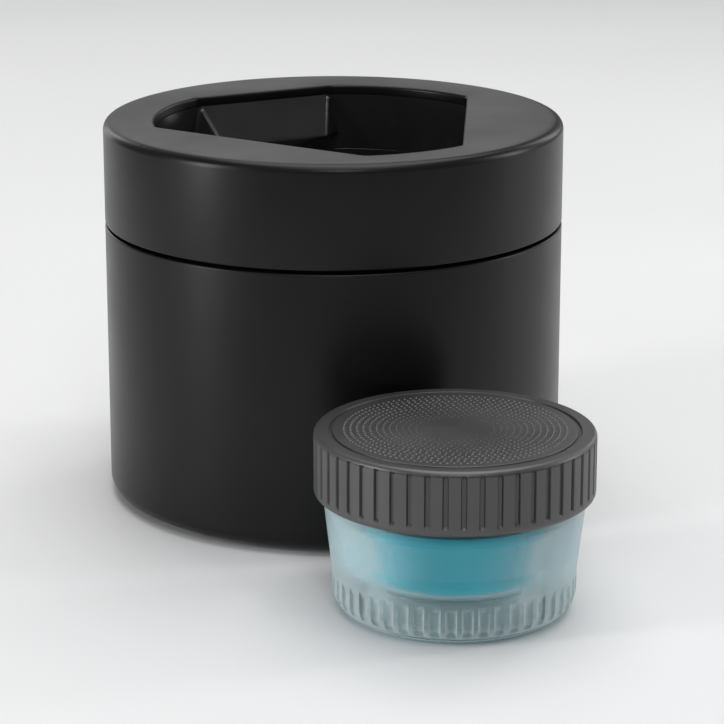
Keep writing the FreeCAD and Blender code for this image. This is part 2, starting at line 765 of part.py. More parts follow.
def make_bowl():
    """Round bowl: wall, deep round corner, and a floor with head seats, suction holes and drains."""
    body = new_body("shaver_bowl")
    revolve(
        body,
        "bowl",
        [
            ("0", BOWL_UNDER),
            (BOWL_OUTER, BOWL_UNDER, "bowl_round + bowl_wall"),
            (BOWL_OUTER, f"{TAB_LOW} + guide_lap"),
            (LAP_RADIUS, f"{TAB_LOW} + guide_lap"),
            (LAP_RADIUS, TAB_LOW),
            (OPENING_RADIUS, TAB_LOW),
            (OPENING_RADIUS, BOWL_FLOOR, "bowl_round"),
            ("0", BOWL_FLOOR),
        ],
    )
    seat = body.newObject("PartDesign::SubtractiveCone", "head_seat")
    seat.AttachmentSupport = [(origin_part(body, "XY_Plane"), "")]
    seat.MapMode = "FlatFace"
    bind(seat, "AttachmentOffset.Base.y", f"0 - ({LOBE_PITCH})")
    bind(seat, "AttachmentOffset.Base.z", f"{BOWL_FLOOR} - lobe_depth")
    bind(seat, "Radius1", "lobe_radius - lobe_depth")
    bind(seat, "Radius2", "lobe_radius + lobe_depth")
    bind(seat, "Height", "2 * lobe_depth")
    hole = new_sketch(body, "suction_outline", "XY_Plane", lift=BOWL_FLOOR)
    disc(hole, "suction_radius", "0", f"0 - ({LOBE_PITCH})")
    suction = pocket(body, "suction_hole", hole, "bowl_floor")
    repeat(body, "head_seats", [seat, suction], "lobe_count")
    drain = new_sketch(body, "drain_outline", "XY_Plane", lift=BOWL_FLOOR)
    disc(drain, "drain_radius", "0", DRAIN_CIRCLE)
    for side in ("", "0 - "):
        across = f"{side}({DRAIN_CIRCLE}) * sin(drain_spread * 1 deg)"
        disc(drain, "drain_radius", across, f"({DRAIN_CIRCLE}) * cos(drain_spread * 1 deg)")
    drain_pocket = pocket(body, "drain", drain, "bowl_floor")
    repeat(body, "drains", [drain_pocket], "lobe_count")
    return body


def make_strainer():
    """Thin perforated ring under the bowl's drains."""
    body = new_body("drain_strainer")
    revolve(
        body,
        "ring",
        [
            (f"{DRAIN_CIRCLE} + strainer_width / 2", STRAINER_LOW),
            (f"{DRAIN_CIRCLE} + strainer_width / 2", BOWL_UNDER),
            (f"{DRAIN_CIRCLE} - strainer_width / 2", BOWL_UNDER),
            (f"{DRAIN_CIRCLE} - strainer_width / 2", STRAINER_LOW),
        ],
    )
    hole = new_sketch(body, "hole_outline", "XY_Plane", lift=BOWL_UNDER)
    disc(hole, "strainer_hole", DRAIN_CIRCLE)
    hole_pocket = pocket(body, "hole", hole, "strainer_thickness")
    repeat(body, "holes", [hole_pocket], "strainer_holes")
    return body


def make_manifold():
    """Closed dish under the three suction holes, with the spigot that plugs into the cartridge."""
    body = new_body("duct_manifold")
    revolve(
        body,
        "dish",
        [
            ("spigot_bore", SPIGOT_LOW),
            ("spigot_radius", SPIGOT_LOW),
            ("spigot_radius", MANIFOLD_LOW),
            (MANIFOLD_RADIUS, MANIFOLD_LOW, "manifold_wall"),
            (MANIFOLD_RADIUS, BOWL_UNDER),
            (f"{MANIFOLD_RADIUS} - manifold_wall", BOWL_UNDER),
            (f"{MANIFOLD_RADIUS} - manifold_wall", f"{MANIFOLD_LOW} + manifold_wall"),
            ("spigot_bore", f"{MANIFOLD_LOW} + manifold_wall"),
        ],
    )
    revolve(
        body,
        "ring_groove",
        [
            ("spigot_radius + ring_section", f"{RING_HEIGHT} - ring_section - fit_clearance"),
            ("spigot_radius + ring_section", f"{RING_HEIGHT} + ring_section + fit_clearance"),
            ("spigot_radius - ring_section", f"{RING_HEIGHT} + ring_section + fit_clearance"),
            ("spigot_radius - ring_section", f"{RING_HEIGHT} - ring_section - fit_clearance"),
        ],
        cut=True,
    )
    return body


def make_spigot_seal():
    """Round-section ring in the spigot's groove."""
    ring = doc.addObject("Part::Torus", "spigot_seal")
    ring.Label = "spigot_seal"
    bind(ring, "Radius1", "spigot_radius + touch_clearance")
    bind(ring, "Radius2", "ring_section")
    bind(ring, "Placement.Base.z", RING_HEIGHT)
    return ring


def make_bayonet_ring():
    """Skirt with three lugs under the top, and the flange that its screws clamp to the upper housing."""
    body = new_body("bayonet_ring")
    revolve(
        body,
        "skirt",
        [
            (SKIRT_INNER, LUG_LOW),
            (SKIRT_OUTER, LUG_LOW),
            (SKIRT_OUTER, CLAMP_LOW),
            (f"{HOUSING_BORE} - fit_clearance", CLAMP_LOW),
            (f"{HOUSING_BORE} - fit_clearance", CLAMP_HIGH),
            (SKIRT_INNER, CLAMP_HIGH),
        ],
    )
    hole = new_sketch(body, "screw_hole_outline", "XY_Plane", lift=CLAMP_HIGH)
    disc(hole, "screw_radius + fit_clearance", CLAMP_CIRCLE)
    through = pocket(body, "screw_hole", hole, "clamp_thickness")
    bore = new_sketch(body, "head_bore_outline", "XY_Plane", lift=CLAMP_SEAT)
    disc(bore, "head_radius + touch_clearance", CLAMP_CIRCLE)
    seat = pocket(body, "head_bore", bore, "head_height")
    repeat(body, "screw_holes", [through, seat], "screw_count")
    lug = revolve(
        body,
        "lug",
        [
            (f"{SKIRT_OUTER} - skirt_wall / 2", LUG_LOW),
            (f"{HOUSING_BORE} - lug_clearance", LUG_LOW),
            (f"{HOUSING_BORE} - lug_clearance", LUG_HIGH),
            (f"{SKIRT_OUTER} - skirt_wall / 2", LUG_HIGH),
        ],
        angle="lug_angle",
    )
    repeat(body, "lugs", [lug], "lug_count")
    return body


def make_cup():
    """Cartridge cup: fluted foot, tapered wall, raised floor, and a straight neck for the cap."""
    body = new_body("cartridge_cup")
    revolve(
        body,
        "cup",
        [
            (f"{CUP_FOOT} - cup_rim_width", "0"),
            (CUP_FOOT, "0", "cup_round"),
            (CUP_FOOT, "cup_floor"),
            ("cup_radius", "cup_shoulder - cup_wall"),
            ("cup_radius", "cup_shoulder"),
            (NECK_RADIUS, "cup_shoulder"),
            (NECK_RADIUS, NECK_TOP),
            (f"{NECK_RADIUS} - cup_wall", NECK_TOP),
            (f"{NECK_RADIUS} - cup_wall", "cup_shoulder - cup_wall"),
            ("cup_radius - cup_wall", "cup_shoulder - 2 * cup_wall"),
            (f"{CUP_FOOT} - cup_wall", "cup_floor + inner_round + cup_wall"),
            (f"{CUP_FOOT} - cup_wall", "cup_floor", "inner_round"),
            ("0", "cup_floor"),
            ("0", "cup_floor - cup_wall"),
            (f"{CUP_FOOT} - cup_rim_width", "cup_floor - cup_wall"),
        ],
    )
    flute = new_sketch(body, "flute_outline", "XY_Plane", lift="flute_start")
    disc(flute, "flute_radius", f"{CUP_FOOT} + flute_radius - flute_depth")
    flute_pocket = pocket(body, "flute", flute, "cup_floor - flute_start", upwards=True)
    repeat(body, "flutes", [flute_pocket], "flute_count")
    stand_at_cartridge(body)
    return body


def make_fluid():
    """The cleaning fluid, up to its fill line, round the dip tube."""
    body = new_body("cleaning_fluid")
    wall = f"{CUP_FOOT} - cup_wall - fit_clearance"
    revolve(
        body,
        "fill",
        [
            ("0", "cup_floor + fit_clearance"),
            (wall, "cup_floor + fit_clearance", "inner_round"),
            (wall, "cup_shoulder - fluid_drop"),
            ("tube_radius + fit_clearance", "cup_shoulder - fluid_drop"),
            ("tube_radius + fit_clearance", f"{TUBE_END} - fit_clearance"),
            ("0", f"{TUBE_END} - fit_clearance"),
        ],
    )
    stand_at_cartridge(body)
    return body


def make_insert():
    """Slotted disc in the cartridge's neck, with the socket that the pod's spigot enters."""
    body = new_body("filter_insert")
    edge = f"{NECK_RADIUS} - cup_wall - fit_clearance"
    revolve(
        body,
        "disc",
        [
            ("tube_radius - tube_wall", HUB_LOW),
            (f"{SOCKET_RADIUS} + socket_wall", HUB_LOW),
            (f"{SOCKET_RADIUS} + socket_wall", INSERT_LOW),
            (f"{edge} - insert_thickness", INSERT_LOW),
            (f"{edge} - insert_thickness", f"{INSERT_LOW} - insert_skirt"),
            (edge, f"{INSERT_LOW} - insert_skirt"),
            (edge, INSERT_TOP),
            (SOCKET_RADIUS, INSERT_TOP),
            (SOCKET_RADIUS, HUB_FLOOR),
            ("tube_radius - tube_wall", HUB_FLOOR),
        ],
    )
    slot = new_sketch(body, "slot_outline", "XY_Plane", lift=INSERT_TOP)
    disc(slot, "slot_radius", SLOT_CIRCLE)
    slot_pocket = pocket(body, "slot", slot, "insert_thickness")
    repeat(body, "slots", [slot_pocket], "slot_count")
    stand_at_cartridge(body)
    return body


def make_mesh():
    """Fine filter basket that hangs under the insert's slots."""
    body = new_body("filter_mesh")
    high = f"{INSERT_LOW} - fit_clearance"
    inner = f"{SOCKET_RADIUS} + socket_wall + fit_clearance"
    revolve(
        body,
        "basket",
        [
            (inner, f"{high} - mesh_length"),
            (f"{MESH_RADIUS} + mesh_thickness", f"{high} - mesh_length"),
            (f"{MESH_RADIUS} + mesh_thickness", high),
            (MESH_RADIUS, high),
            (MESH_RADIUS, f"{high} - mesh_length + mesh_thickness"),
            (inner, f"{high} - mesh_length + mesh_thickness"),
        ],
    )
    stand_at_cartridge(body)
    return body


def make_dip_tube():
    """Tube from the insert's hub down to just above the cup's floor."""
    body = new_body("dip_tube")
    revolve(
        body,
        "tube",
        [
            ("tube_radius - tube_wall", TUBE_END),
            ("tube_radius", TUBE_END),
            ("tube_radius", HUB_LOW),
            ("tube_radius - tube_wall", HUB_LOW),
        ],
    )
    stand_at_cartridge(body)
    return body


def make_cap():
    """Screw cap: ribbed grip over a smooth lip, and a ring groove round its top."""
    body = new_body("screw_cap")
    revolve(
        body,
        "cap",
        [
            (CAP_RADIUS, CAP_LOW, "cap_round"),
            (CAP_RADIUS, CAP_HIGH, "cap_round"),
            ("0", CAP_HIGH),
            ("0", CAP_UNDER),
            (CAP_BORE, CAP_UNDER),
            (CAP_BORE, CAP_LOW),
        ],
    )
    revolve(
        body,
        "ring_groove",
        [
            (CAP_RING, f"{CAP_HIGH} - ring_groove_depth"),
            (f"{CAP_RING} + ring_groove_width", f"{CAP_HIGH} - ring_groove_depth"),
            (f"{CAP_RING} + ring_groove_width", f"{CAP_HIGH} + ring_groove_depth"),
            (CAP_RING, f"{CAP_HIGH} + ring_groove_depth"),
        ],
        cut=True,
    )
    notch = new_sketch(body, "notch_outline", "XY_Plane", lift=f"{CAP_HIGH} - groove_end")
    outline(
        notch,
        [
            (f"{CAP_RADIUS} - groove_depth", "0 - groove_width / 2"),
            (f"{CAP_RADIUS} + groove_depth", "0 - groove_width / 2"),
            (f"{CAP_RADIUS} + groove_depth", "groove_width / 2"),
            (f"{CAP_RADIUS} - groove_depth", "groove_width / 2"),
        ],
    )
    notch_pocket = pocket(body, "notch", notch, f"{CAP_HIGH} - groove_end - cap_lip - ({CAP_LOW})")
    repeat(body, "notches", [notch_pocket], "cap_ribs")
    stand_at_cartridge(body)
    return body


def make_liner():
    """Soft disc inside the cap that seals on the neck's rim."""
    body = new_body("cap_liner")
    revolve(
        body,
        "disc",
        [
            ("0", LINER_LOW),
            (f"{CAP_BORE} - fit_clearance", LINER_LOW),
            (f"{CAP_BORE} - fit_clearance", LINER_HIGH),
            ("0", LINER_HIGH),
        ],
    )
    stand_at_cartridge(body)
    return body


def check_and_write(labels):
    """Stops on any failed object, then writes one file for each sub-part."""
    doc.recompute()
    for thing in doc.Objects:
        if "Invalid" in thing.State or "Error" in thing.State:
            raise RuntimeError(f"{thing.Label}: {thing.State}")
    os.makedirs("parts", exist_ok=True)
    for label in labels:
        shape = doc.getObjectsByLabel(label)[0].Shape
        if shape.isNull() or not shape.isValid():
            raise RuntimeError(f"{label} has no valid shape")
        shape.exportStep(f"parts/{label}.step")
        print(f"{label}: {len(shape.Solids)} solid(s), {shape.Volume / 1000:.2f} cm3")


made = [
    make_lower_housing(),
    make_base_plate(),
    make_foot_ring(),
    make_screws("base_screws", PLATE_SEAT, BASE_CIRCLE),
    make_cradle(),
    make_deck(),
    make_top_seal(),
    make_upper_housing(),
    make_bowl(),
    make_guide(),
    make_strainer(),
    make_manifold(),
    make_spigot_seal(),
    make_bayonet_ring(),
    make_screws("clamp_screws", CLAMP_SEAT, CLAMP_CIRCLE),
    make_cup(),
    make_fluid(),
    make_insert(),
    make_mesh(),
    make_dip_tube(),
    make_cap(),
    make_liner(),
]
check_and_write([thing.Label for thing in made])
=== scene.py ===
import math

import bpy
import numpy as np
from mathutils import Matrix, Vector


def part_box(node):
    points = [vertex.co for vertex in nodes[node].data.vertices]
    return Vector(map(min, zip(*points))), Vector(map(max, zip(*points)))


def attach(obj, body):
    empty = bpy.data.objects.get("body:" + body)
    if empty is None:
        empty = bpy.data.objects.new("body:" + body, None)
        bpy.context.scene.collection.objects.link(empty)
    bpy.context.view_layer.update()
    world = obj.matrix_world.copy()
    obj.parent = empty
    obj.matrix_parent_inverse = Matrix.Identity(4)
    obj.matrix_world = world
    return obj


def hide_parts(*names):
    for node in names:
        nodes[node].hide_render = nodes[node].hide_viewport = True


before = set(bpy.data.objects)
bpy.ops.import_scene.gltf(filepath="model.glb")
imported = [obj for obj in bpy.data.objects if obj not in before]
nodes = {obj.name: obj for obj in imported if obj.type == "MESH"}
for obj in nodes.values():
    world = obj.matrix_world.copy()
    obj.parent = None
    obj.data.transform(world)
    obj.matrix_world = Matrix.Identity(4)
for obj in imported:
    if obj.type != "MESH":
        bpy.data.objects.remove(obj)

# Lengths in this script are millimetres. meshObject brings them to Blender's metres.
mm = 0.001
fullTurn = 2 * math.pi
thirds = [third * fullTurn / 3 for third in range(3)]
sharpAngle = math.radians(32)          # edges that turn by more are shaded as edges
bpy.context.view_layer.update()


# measures taken from the frame

def nodeBox(node):
    # lowest and highest corner of a CAD node
    low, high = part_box(node)
    return np.array(low) / mm, np.array(high) / mm


def nodeHeights(node):
    # lowest and highest point of a CAD node
    low, high = nodeBox(node)
    return low[2], high[2]


def nodeRadius(node):
    # the furthest that a node reaches from the pod's axis
    mesh = nodes[node].data
    points = np.empty(len(mesh.vertices) * 3)
    mesh.vertices.foreach_get("co", points)
    points = points.reshape(-1, 3) / mm
    return float(np.hypot(points[:, 0], points[:, 1]).max())


podRadius = nodeRadius("lower_housing")
upperEdge, podHeight = nodeHeights("upper_housing")
baseGap, seamHeight = nodeHeights("lower_housing")
bowlUnder = nodeHeights("shaver_bowl")[0]
rimUnder = nodeHeights("bowl_guide")[1]
cupLow, cupHigh = nodeBox("cartridge_cup")
cartridgeAt = ((cupLow[0] + cupHigh[0]) / 2, (cupLow[1] + cupHigh[1]) / 2)
cupRadius = (cupHigh[0] - cupLow[0]) / 2
capLow, capHigh = nodeBox("screw_cap")
capRadius = (capHigh[0] - capLow[0]) / 2
print("frame read: pod %.1f x %.1f mm, cartridge at %.1f %.1f" % (2 * podRadius, podHeight, *cartridgeAt))


# mesh tools

def meshObject(name, parts):
    # one object from (points, faces) parts, each a closed skin
    points = []
    faces = []
    start = 0
    for partPoints, partFaces in parts:
        points.append(partPoints)
        faces.extend([[i + start for i in face] for face in partFaces])
        start += len(partPoints)
    mesh = bpy.data.meshes.new(name)
    mesh.from_pydata((np.concatenate(points) * mm).tolist(), [], faces)
    mesh.polygons.foreach_set("use_smooth", np.ones(len(faces), dtype=bool))
    mesh.update()
    mesh.set_sharp_from_angle(angle=sharpAngle)
    piece = bpy.data.objects.new(name, mesh)
    bpy.context.scene.collection.objects.link(piece)
    return piece


def skin(points, poleStart=False, poleEnd=False, closed=False):
    # A grid of points, rows round an axis and columns along a profile, becomes faces. The rows always close.
    # A profile either closes on itself or starts and ends at a pole, where one point takes a column's place.
    if poleStart:
        startPole, points = points[0, 0], points[:, 1:]
    if poleEnd:
        endPole, points = points[0, -1], points[:, :-1]
    rows, columns = points.shape[:2]
    index = np.arange(rows * columns).reshape(rows, columns)
    nextRow = np.roll(index, -1, axis=0)
    across = slice(None) if closed else slice(0, columns - 1)
    nextColumn = np.roll(index, -1, axis=1)
    both = np.roll(nextRow, -1, axis=1)
    quads = np.stack([index, nextRow, both, nextColumn], axis=-1)[:, across]
    faces = quads.reshape(-1, 4).tolist()
    flat = [points.reshape(-1, 3)]
    count = rows * columns
    if poleStart:
        flat.append(startPole[None])
        faces += np.stack([np.full(rows, count), nextRow[:, 0], index[:, 0]], axis=-1).tolist()
        count += 1
    if poleEnd:
        flat.append(endPole[None])
        faces += np.stack([np.full(rows, count), index[:, -1], nextRow[:, -1]], axis=-1).tolist()
    return np.concatenate(flat), faces


def roundedLine(corners, closed=True, steps=6):
    # A line through (across, up, radius) corners, where each corner with a radius becomes an arc that is
    # tangent to both of its sides.
    line = []
    for i, corner in enumerate(corners):
        here = np.array(corner[:2], float)
        radius = corner[2] if len(corner) > 2 else 0
        if radius == 0 or (not closed and i in (0, len(corners) - 1)):
            line.append(here[None])
            continue
        back = np.array(corners[i - 1][:2], float) - here
        ahead = np.array(corners[(i + 1) % len(corners)][:2], float) - here
        back /= np.linalg.norm(back)
        ahead /= np.linalg.norm(ahead)
        half = math.acos(float(np.clip(back @ ahead, -1, 1))) / 2
        centre = here + (back + ahead) / np.linalg.norm(back + ahead) * (radius / math.sin(half))
        start = here + back * (radius / math.tan(half)) - centre
        end = here + ahead * (radius / math.tan(half)) - centre
        sweep = math.pi - 2 * half
        t = np.linspace(0, 1, steps + 1)
        fromStart = np.sin((1 - t) * sweep) / math.sin(sweep)
        fromEnd = np.sin(t * sweep) / math.sin(sweep)
        line.append(centre + np.outer(fromStart, start) + np.outer(fromEnd, end))
    return np.concatenate(line)


def around(steps):
    # evenly spaced angles as a column
    return np.linspace(0, fullTurn, steps, endpoint=False)[:, None]


def onCircle(radius, bearing):
    # a place on a circle round the pod's axis
    return radius * math.cos(bearing), radius * math.sin(bearing)


def turned(across, up, angle, centre=(0, 0)):
    # a distance from an upright axis and a height for each angle become points
    across, up, angle = np.broadcast_arrays(across, up, angle)
    return np.stack([centre[0] + across * np.cos(angle), centre[1] + across * np.sin(angle), up], axis=-1)


def turnedSkin(line, steps=240, centre=(0, 0), **ends):
    # a line of (across, up) points carried round an upright axis
    return skin(turned(line[None, :, 0], line[None, :, 1], around(steps), centre), **ends)


def carried(line, angle):
    # the distances and heights of a line of (across, up) points, repeated for each angle
    return np.repeat(line[None, :, 0], len(angle), axis=0), np.repeat(line[None, :, 1], len(angle), axis=0)


def smooth(value, low=0.0, high=1.0):
    # rises from 0 to 1 between low and high with level ends
    t = np.clip((value - low) / (high - low), 0, 1)
    return t * t * (3 - 2 * t)


def patternAngles(count, fractions):
    # angles with the same closely set places in each repeat of a pattern, so that its edges stay crisp
    places = (np.arange(count)[:, None] + np.array(fractions)[None]) / count
    return np.sort(places.ravel())[:, None] * fullTurn


def patternPlace(angle, count):
    # how far each angle is from the nearest middle of a repeat, as a share of the repeat
    place = (angle / fullTurn * count) % 1
    return np.minimum(place, 1 - place)


# material tools

socketNames = {
    "metallic": "Metallic", "ior": "IOR", "specular": "Specular IOR Level",
    "subsurface": "Subsurface Weight", "subsurfaceScale": "Subsurface Scale",
}
texture = {
    "cloudDetail": 3, "grainDetail": 2, "grainStrength": 0.6,
    "toneStops": (0.32, 0.68), "roughnessStops": (0.3, 0.7),
}


def addNode(tree, kind, inputs=None):
    # a new shader node with the given constants on its sockets
    node = tree.nodes.new("ShaderNode" + kind)
    for socket, value in (inputs or {}).items():
        node.inputs[socket].default_value = value
    return node


def addRange(tree, fromRange, toRange):
    # a node that carries one range of values over to another
    ends = ("From Min", "From Max", "To Min", "To Max")
    return addNode(tree, "MapRange", dict(zip(ends, (*fromRange, *toRange))))


def addMix(tree, first, second):
    # a node that mixes two shaders
    mix = addNode(tree, "MixShader")
    tree.links.new(first.outputs[0], mix.inputs[1])
    tree.links.new(second.outputs[0], mix.inputs[2])
    return mix


def join(tree, source, output, target, socket):
    tree.links.new(source.outputs[output], target.inputs[socket])


def surface(name, dark, light, roughness, cloud=60, grain=900, relief=0.02, **shader):
    # A plain moulded or rubber surface: two close tones in soft clouds, a roughness that wanders between its
    # two values, and a fine grain in relief, whose height is in millimetres. Constants sit on the shader.
    material = bpy.data.materials.new(name)
    material.use_nodes = True
    tree = material.node_tree
    shade = tree.nodes["Principled BSDF"]
    place = addNode(tree, "TexCoord")
    clouds = addNode(tree, "TexNoise", {"Scale": cloud, "Detail": texture["cloudDetail"]})
    join(tree, place, "Object", clouds, "Vector")
    tones = addNode(tree, "ValToRGB")
    for stop, position, tone in zip(tones.color_ramp.elements, texture["toneStops"], (dark, light)):
        stop.position = position
        stop.color = (*tone, 1)
    join(tree, clouds, "Fac", tones, "Fac")
    join(tree, tones, "Color", shade, "Base Color")
    spread = addRange(tree, texture["roughnessStops"], roughness)
    join(tree, clouds, "Fac", spread, "Value")
    join(tree, spread, "Result", shade, "Roughness")
    if relief:
        grains = addNode(tree, "TexNoise", {"Scale": grain, "Detail": texture["grainDetail"]})
        join(tree, place, "Object", grains, "Vector")
        bump = addNode(tree, "Bump", {"Strength": texture["grainStrength"], "Distance": relief * mm})
        join(tree, grains, "Fac", bump, "Height")
        join(tree, bump, "Normal", shade, "Normal")
    for socket, value in shader.items():
        shade.inputs[socketNames[socket]].default_value = value
    return material


satinBlack = surface(
    "satinBlack", (0.0026, 0.0026, 0.0028), (0.0038, 0.0038, 0.0040), (0.31, 0.37),
    relief=0.010, specular=0.26)
bowlBlack = surface(
    "bowlBlack", (0.012, 0.012, 0.0124), (0.016, 0.016, 0.0165), (0.16, 0.22),
    relief=0.003, specular=0.45)
innerBlack = surface("innerBlack", (0.018, 0.018, 0.019), (0.027, 0.027, 0.028), (0.45, 0.55))
capGrey = surface(
    "capGrey", (0.030, 0.030, 0.0305), (0.040, 0.040, 0.0405), (0.40, 0.48),
    relief=0.015, specular=0.90)
footRubber = surface(
    "footRubber", (0.010, 0.010, 0.010), (0.018, 0.018, 0.018), (0.7, 0.85), relief=0.04)
sealRubber = surface(
    "sealRubber", (0.035, 0.035, 0.038), (0.055, 0.055, 0.058), (0.5, 0.62), relief=0.01)
zincSteel = surface(
    "zincSteel", (0.48, 0.48, 0.50), (0.62, 0.62, 0.64), (0.24, 0.36),
    cloud=400, relief=0.004, metallic=1.0)
etchedSteel = surface(
    "etchedSteel", (0.50, 0.51, 0.52), (0.62, 0.63, 0.64), (0.28, 0.4),
    cloud=300, relief=0.004, metallic=1.0)
tealFluid = surface(
    "tealFluid", (0.005, 0.50, 0.63), (0.008, 0.56, 0.70), (0.10, 0.16),
    cloud=40, relief=0, specular=0.2, ior=1.34)
whitePlastic = surface(
    "whitePlastic", (0.68, 0.70, 0.71), (0.76, 0.78, 0.79), (0.35, 0.45),
    relief=0.01, subsurface=0.1, subsurfaceScale=0.002)
filterMesh = surface(
    "filterMesh", (0.45, 0.47, 0.48), (0.74, 0.76, 0.77), (0.6, 0.8), cloud=1500, grain=2500, relief=0.1)
linerFoam = surface(
    "linerFoam", (0.66, 0.66, 0.65), (0.76, 0.76, 0.75), (0.6, 0.75), cloud=500, grain=1400, relief=0.05)

frost = {
    "clearTint": (0.89, 0.985, 0.99, 1), "glossRoughness": 0.20, "glossIor": 1.30,
    "glowTint": (0.78, 0.86, 0.87, 1), "glowShare": 0.45,
    "edgeBlend": 0.5, "edgeFrom": (0.02, 0.55), "edgeMilk": (0.0, 0.66),
    "footFrom": (6 * mm, 9.5 * mm), "footMilk": (0.20, 0.0),
}


def frosted():
    # Frosted plastic: a glossy wall that lets most light straight through, mixed with milk that scatters it.
    # The milk grows where the wall is seen edge on, and there is a little more of it in the foot.
    material = surface(
        "frostedPlastic", (0.74, 0.80, 0.81), (0.80, 0.86, 0.87), (0.22, 0.30), relief=0.008, ior=1.36)
    tree = material.node_tree
    through = addNode(tree, "BsdfTransparent", {"Color": frost["clearTint"]})
    gloss = addNode(tree, "BsdfGlossy", {"Roughness": frost["glossRoughness"]})
    shine = addNode(tree, "Fresnel", {"IOR": frost["glossIor"]})
    clear = addMix(tree, through, gloss)
    join(tree, shine, "Fac", clear, "Fac")
    glow = addNode(tree, "BsdfTranslucent", {"Color": frost["glowTint"]})
    milk = addMix(tree, tree.nodes["Principled BSDF"], glow)
    milk.inputs["Fac"].default_value = frost["glowShare"]
    edge = addNode(tree, "LayerWeight", {"Blend": frost["edgeBlend"]})
    steep = addRange(tree, frost["edgeFrom"], frost["edgeMilk"])
    steep.interpolation_type = "SMOOTHSTEP"
    join(tree, edge, "Facing", steep, "Value")
    place = addNode(tree, "TexCoord")
    split = addNode(tree, "SeparateXYZ")
    join(tree, place, "Object", split, "Vector")
    height = addRange(tree, frost["footFrom"], frost["footMilk"])
    join(tree, split, "Z", height, "Value")
    amount = addNode(tree, "Math")
    amount.operation = "ADD"
    join(tree, steep, "Result", amount, 0)
    join(tree, height, "Result", amount, 1)
    blend = addMix(tree, clear, milk)
    join(tree, amount, "Value", blend, "Fac")
    join(tree, blend, "Shader", tree.nodes["Material Output"], "Surface")
    return material


frostedPlastic = frosted()
print("materials made")


def finish(piece, material, slot, body, *replaced):
    # gives a new piece its material, its body and the CAD nodes that it stands for
    piece.data.materials.clear()
    piece.data.materials.append(material)
    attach(piece, body)
    if replaced:
        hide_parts(*replaced)
    return piece


# the opening in the rim: a round hole cut by three chords, two tabs beside the front and the back edge

opening = {
    "radius": podRadius - 10.7,
    "tab": podRadius - 20.8,           # from the axis to each tab's edge
    "tabAngle": 60,                    # degrees either side of the front
    "back": podRadius - 14.5,
    "round": 2.5, "steps": 3600,
    "facing": 0.1,                     # a chord counts in directions whose cosine to it is above this
}


def openingRadius(angle):
    # The distance from the axis to the opening's edge. The outline is drawn in by the corner's radius and
    # grown back by discs of that radius, which rounds its six corners and leaves the rest as it was.
    cut, facing = opening["round"], opening["facing"]
    ring = np.linspace(0, fullTurn, opening["steps"], endpoint=False)
    inner = np.full(ring.shape, opening["radius"] - cut)
    chords = [
        (-90 - opening["tabAngle"], opening["tab"]), (-90 + opening["tabAngle"], opening["tab"]),
        (90, opening["back"])]
    for bearing, distance in chords:
        towards = np.cos(ring - math.radians(bearing))
        chord = (distance - cut) / np.maximum(towards, facing)
        inner = np.where(towards > facing, np.minimum(inner, chord), inner)
    x, y = inner * np.cos(ring), inner * np.sin(ring)
    alongs = x * np.cos(angle) + y * np.sin(angle)
    asides = x * np.sin(angle) - y * np.cos(angle)
    reach = alongs + np.sqrt(np.maximum(cut ** 2 - asides ** 2, 0))
    return np.where(np.abs(asides) <= cut, reach, 0).max(axis=1, keepdims=True)


# upper housing: side wall, rim with the opening, and three screw bosses inside

upper = {
    "wall": 2.4, "seamRound": 0.4, "rimRound": 1.8, "edgeRound": 0.6, "underRound": 0.2, "steps": 900,
    "band": 1, "bandRound": 0.4,       # level band inside the rim's outer round
    "rimDip": 0.35,                    # the rim's top falls this much from the band to the opening
    "innerRound": 0.8, "chamferWidth": 0.5, "chamferHeight": 0.8, "chamferRound": 0.2,
    "moveFrom": 2.8, "moveTo": 0.5,    # how far inside the wall and outside the opening the move fades
    "bossCircle": 43.8, "boss": 2.6, "bossBore": 1.4, "bossLow": 62.4, "bossSteps": 32, "hair": 0.01,
}


def upperShell():
    # A profile at the full circle of the opening is carried round the axis. Points near the opening move in
    # by what the outline falls short of that circle, and the move fades out to nothing at the outer wall.
    top, low, bore = podHeight, upperEdge, podRadius - upper["wall"]
    radius = opening["radius"]
    line = roundedLine([
        (podRadius, low, upper["seamRound"]), (podRadius, top, upper["rimRound"]),
        (podRadius - upper["rimRound"] - upper["band"], top, upper["bandRound"]),
        (radius, top - upper["rimDip"], upper["edgeRound"]), (radius, rimUnder, upper["underRound"]),
        (bore, rimUnder, upper["innerRound"]), (bore, low + upper["chamferHeight"], upper["chamferRound"]),
        (bore + upper["chamferWidth"], low, upper["chamferRound"])], steps=8)
    across, up = line[None, :, 0], line[None, :, 1]
    angle = around(upper["steps"])
    fixed = podRadius - upper["moveFrom"]
    share = np.clip((fixed - across) / (fixed - radius - upper["moveTo"]), 0, 1)
    share = np.where(up < rimUnder - upper["hair"], 0, share)
    move = (openingRadius(angle) - radius) * share
    parts = [skin(turned(across + move, up, angle), closed=True)]
    bossHigh = rimUnder - upper["hair"]
    tube = roundedLine([
        (upper["boss"], upper["bossLow"]), (upper["boss"], bossHigh),
        (upper["bossBore"], bossHigh), (upper["bossBore"], upper["bossLow"])])
    for bearing in thirds:
        centre = onCircle(upper["bossCircle"], bearing)
        parts.append(turnedSkin(tube, upper["bossSteps"], centre, closed=True))
    return meshObject("upperShell", parts)


finish(upperShell(), satinBlack, "black_plastic", "top", "upper_housing")
print("upper shell made")


# lower housing: rounded foot edge, flange and three catches

lower = {
    "wall": 2.4, "heel": 2, "seamRound": 0.4, "baseRound": 2.8, "edgeRound": 0.3, "plateTop": 3,
    "plateRound": 0.2, "flangeTop": 5, "flangeReach": 12.1, "flangeRound": 0.6, "steps": 360,
    "catchIn": 42.2, "catchRoot": 0.3, "catchLow": 53.9, "catchHigh": 56.3, "catchSpan": 20, "turn": -24,
}


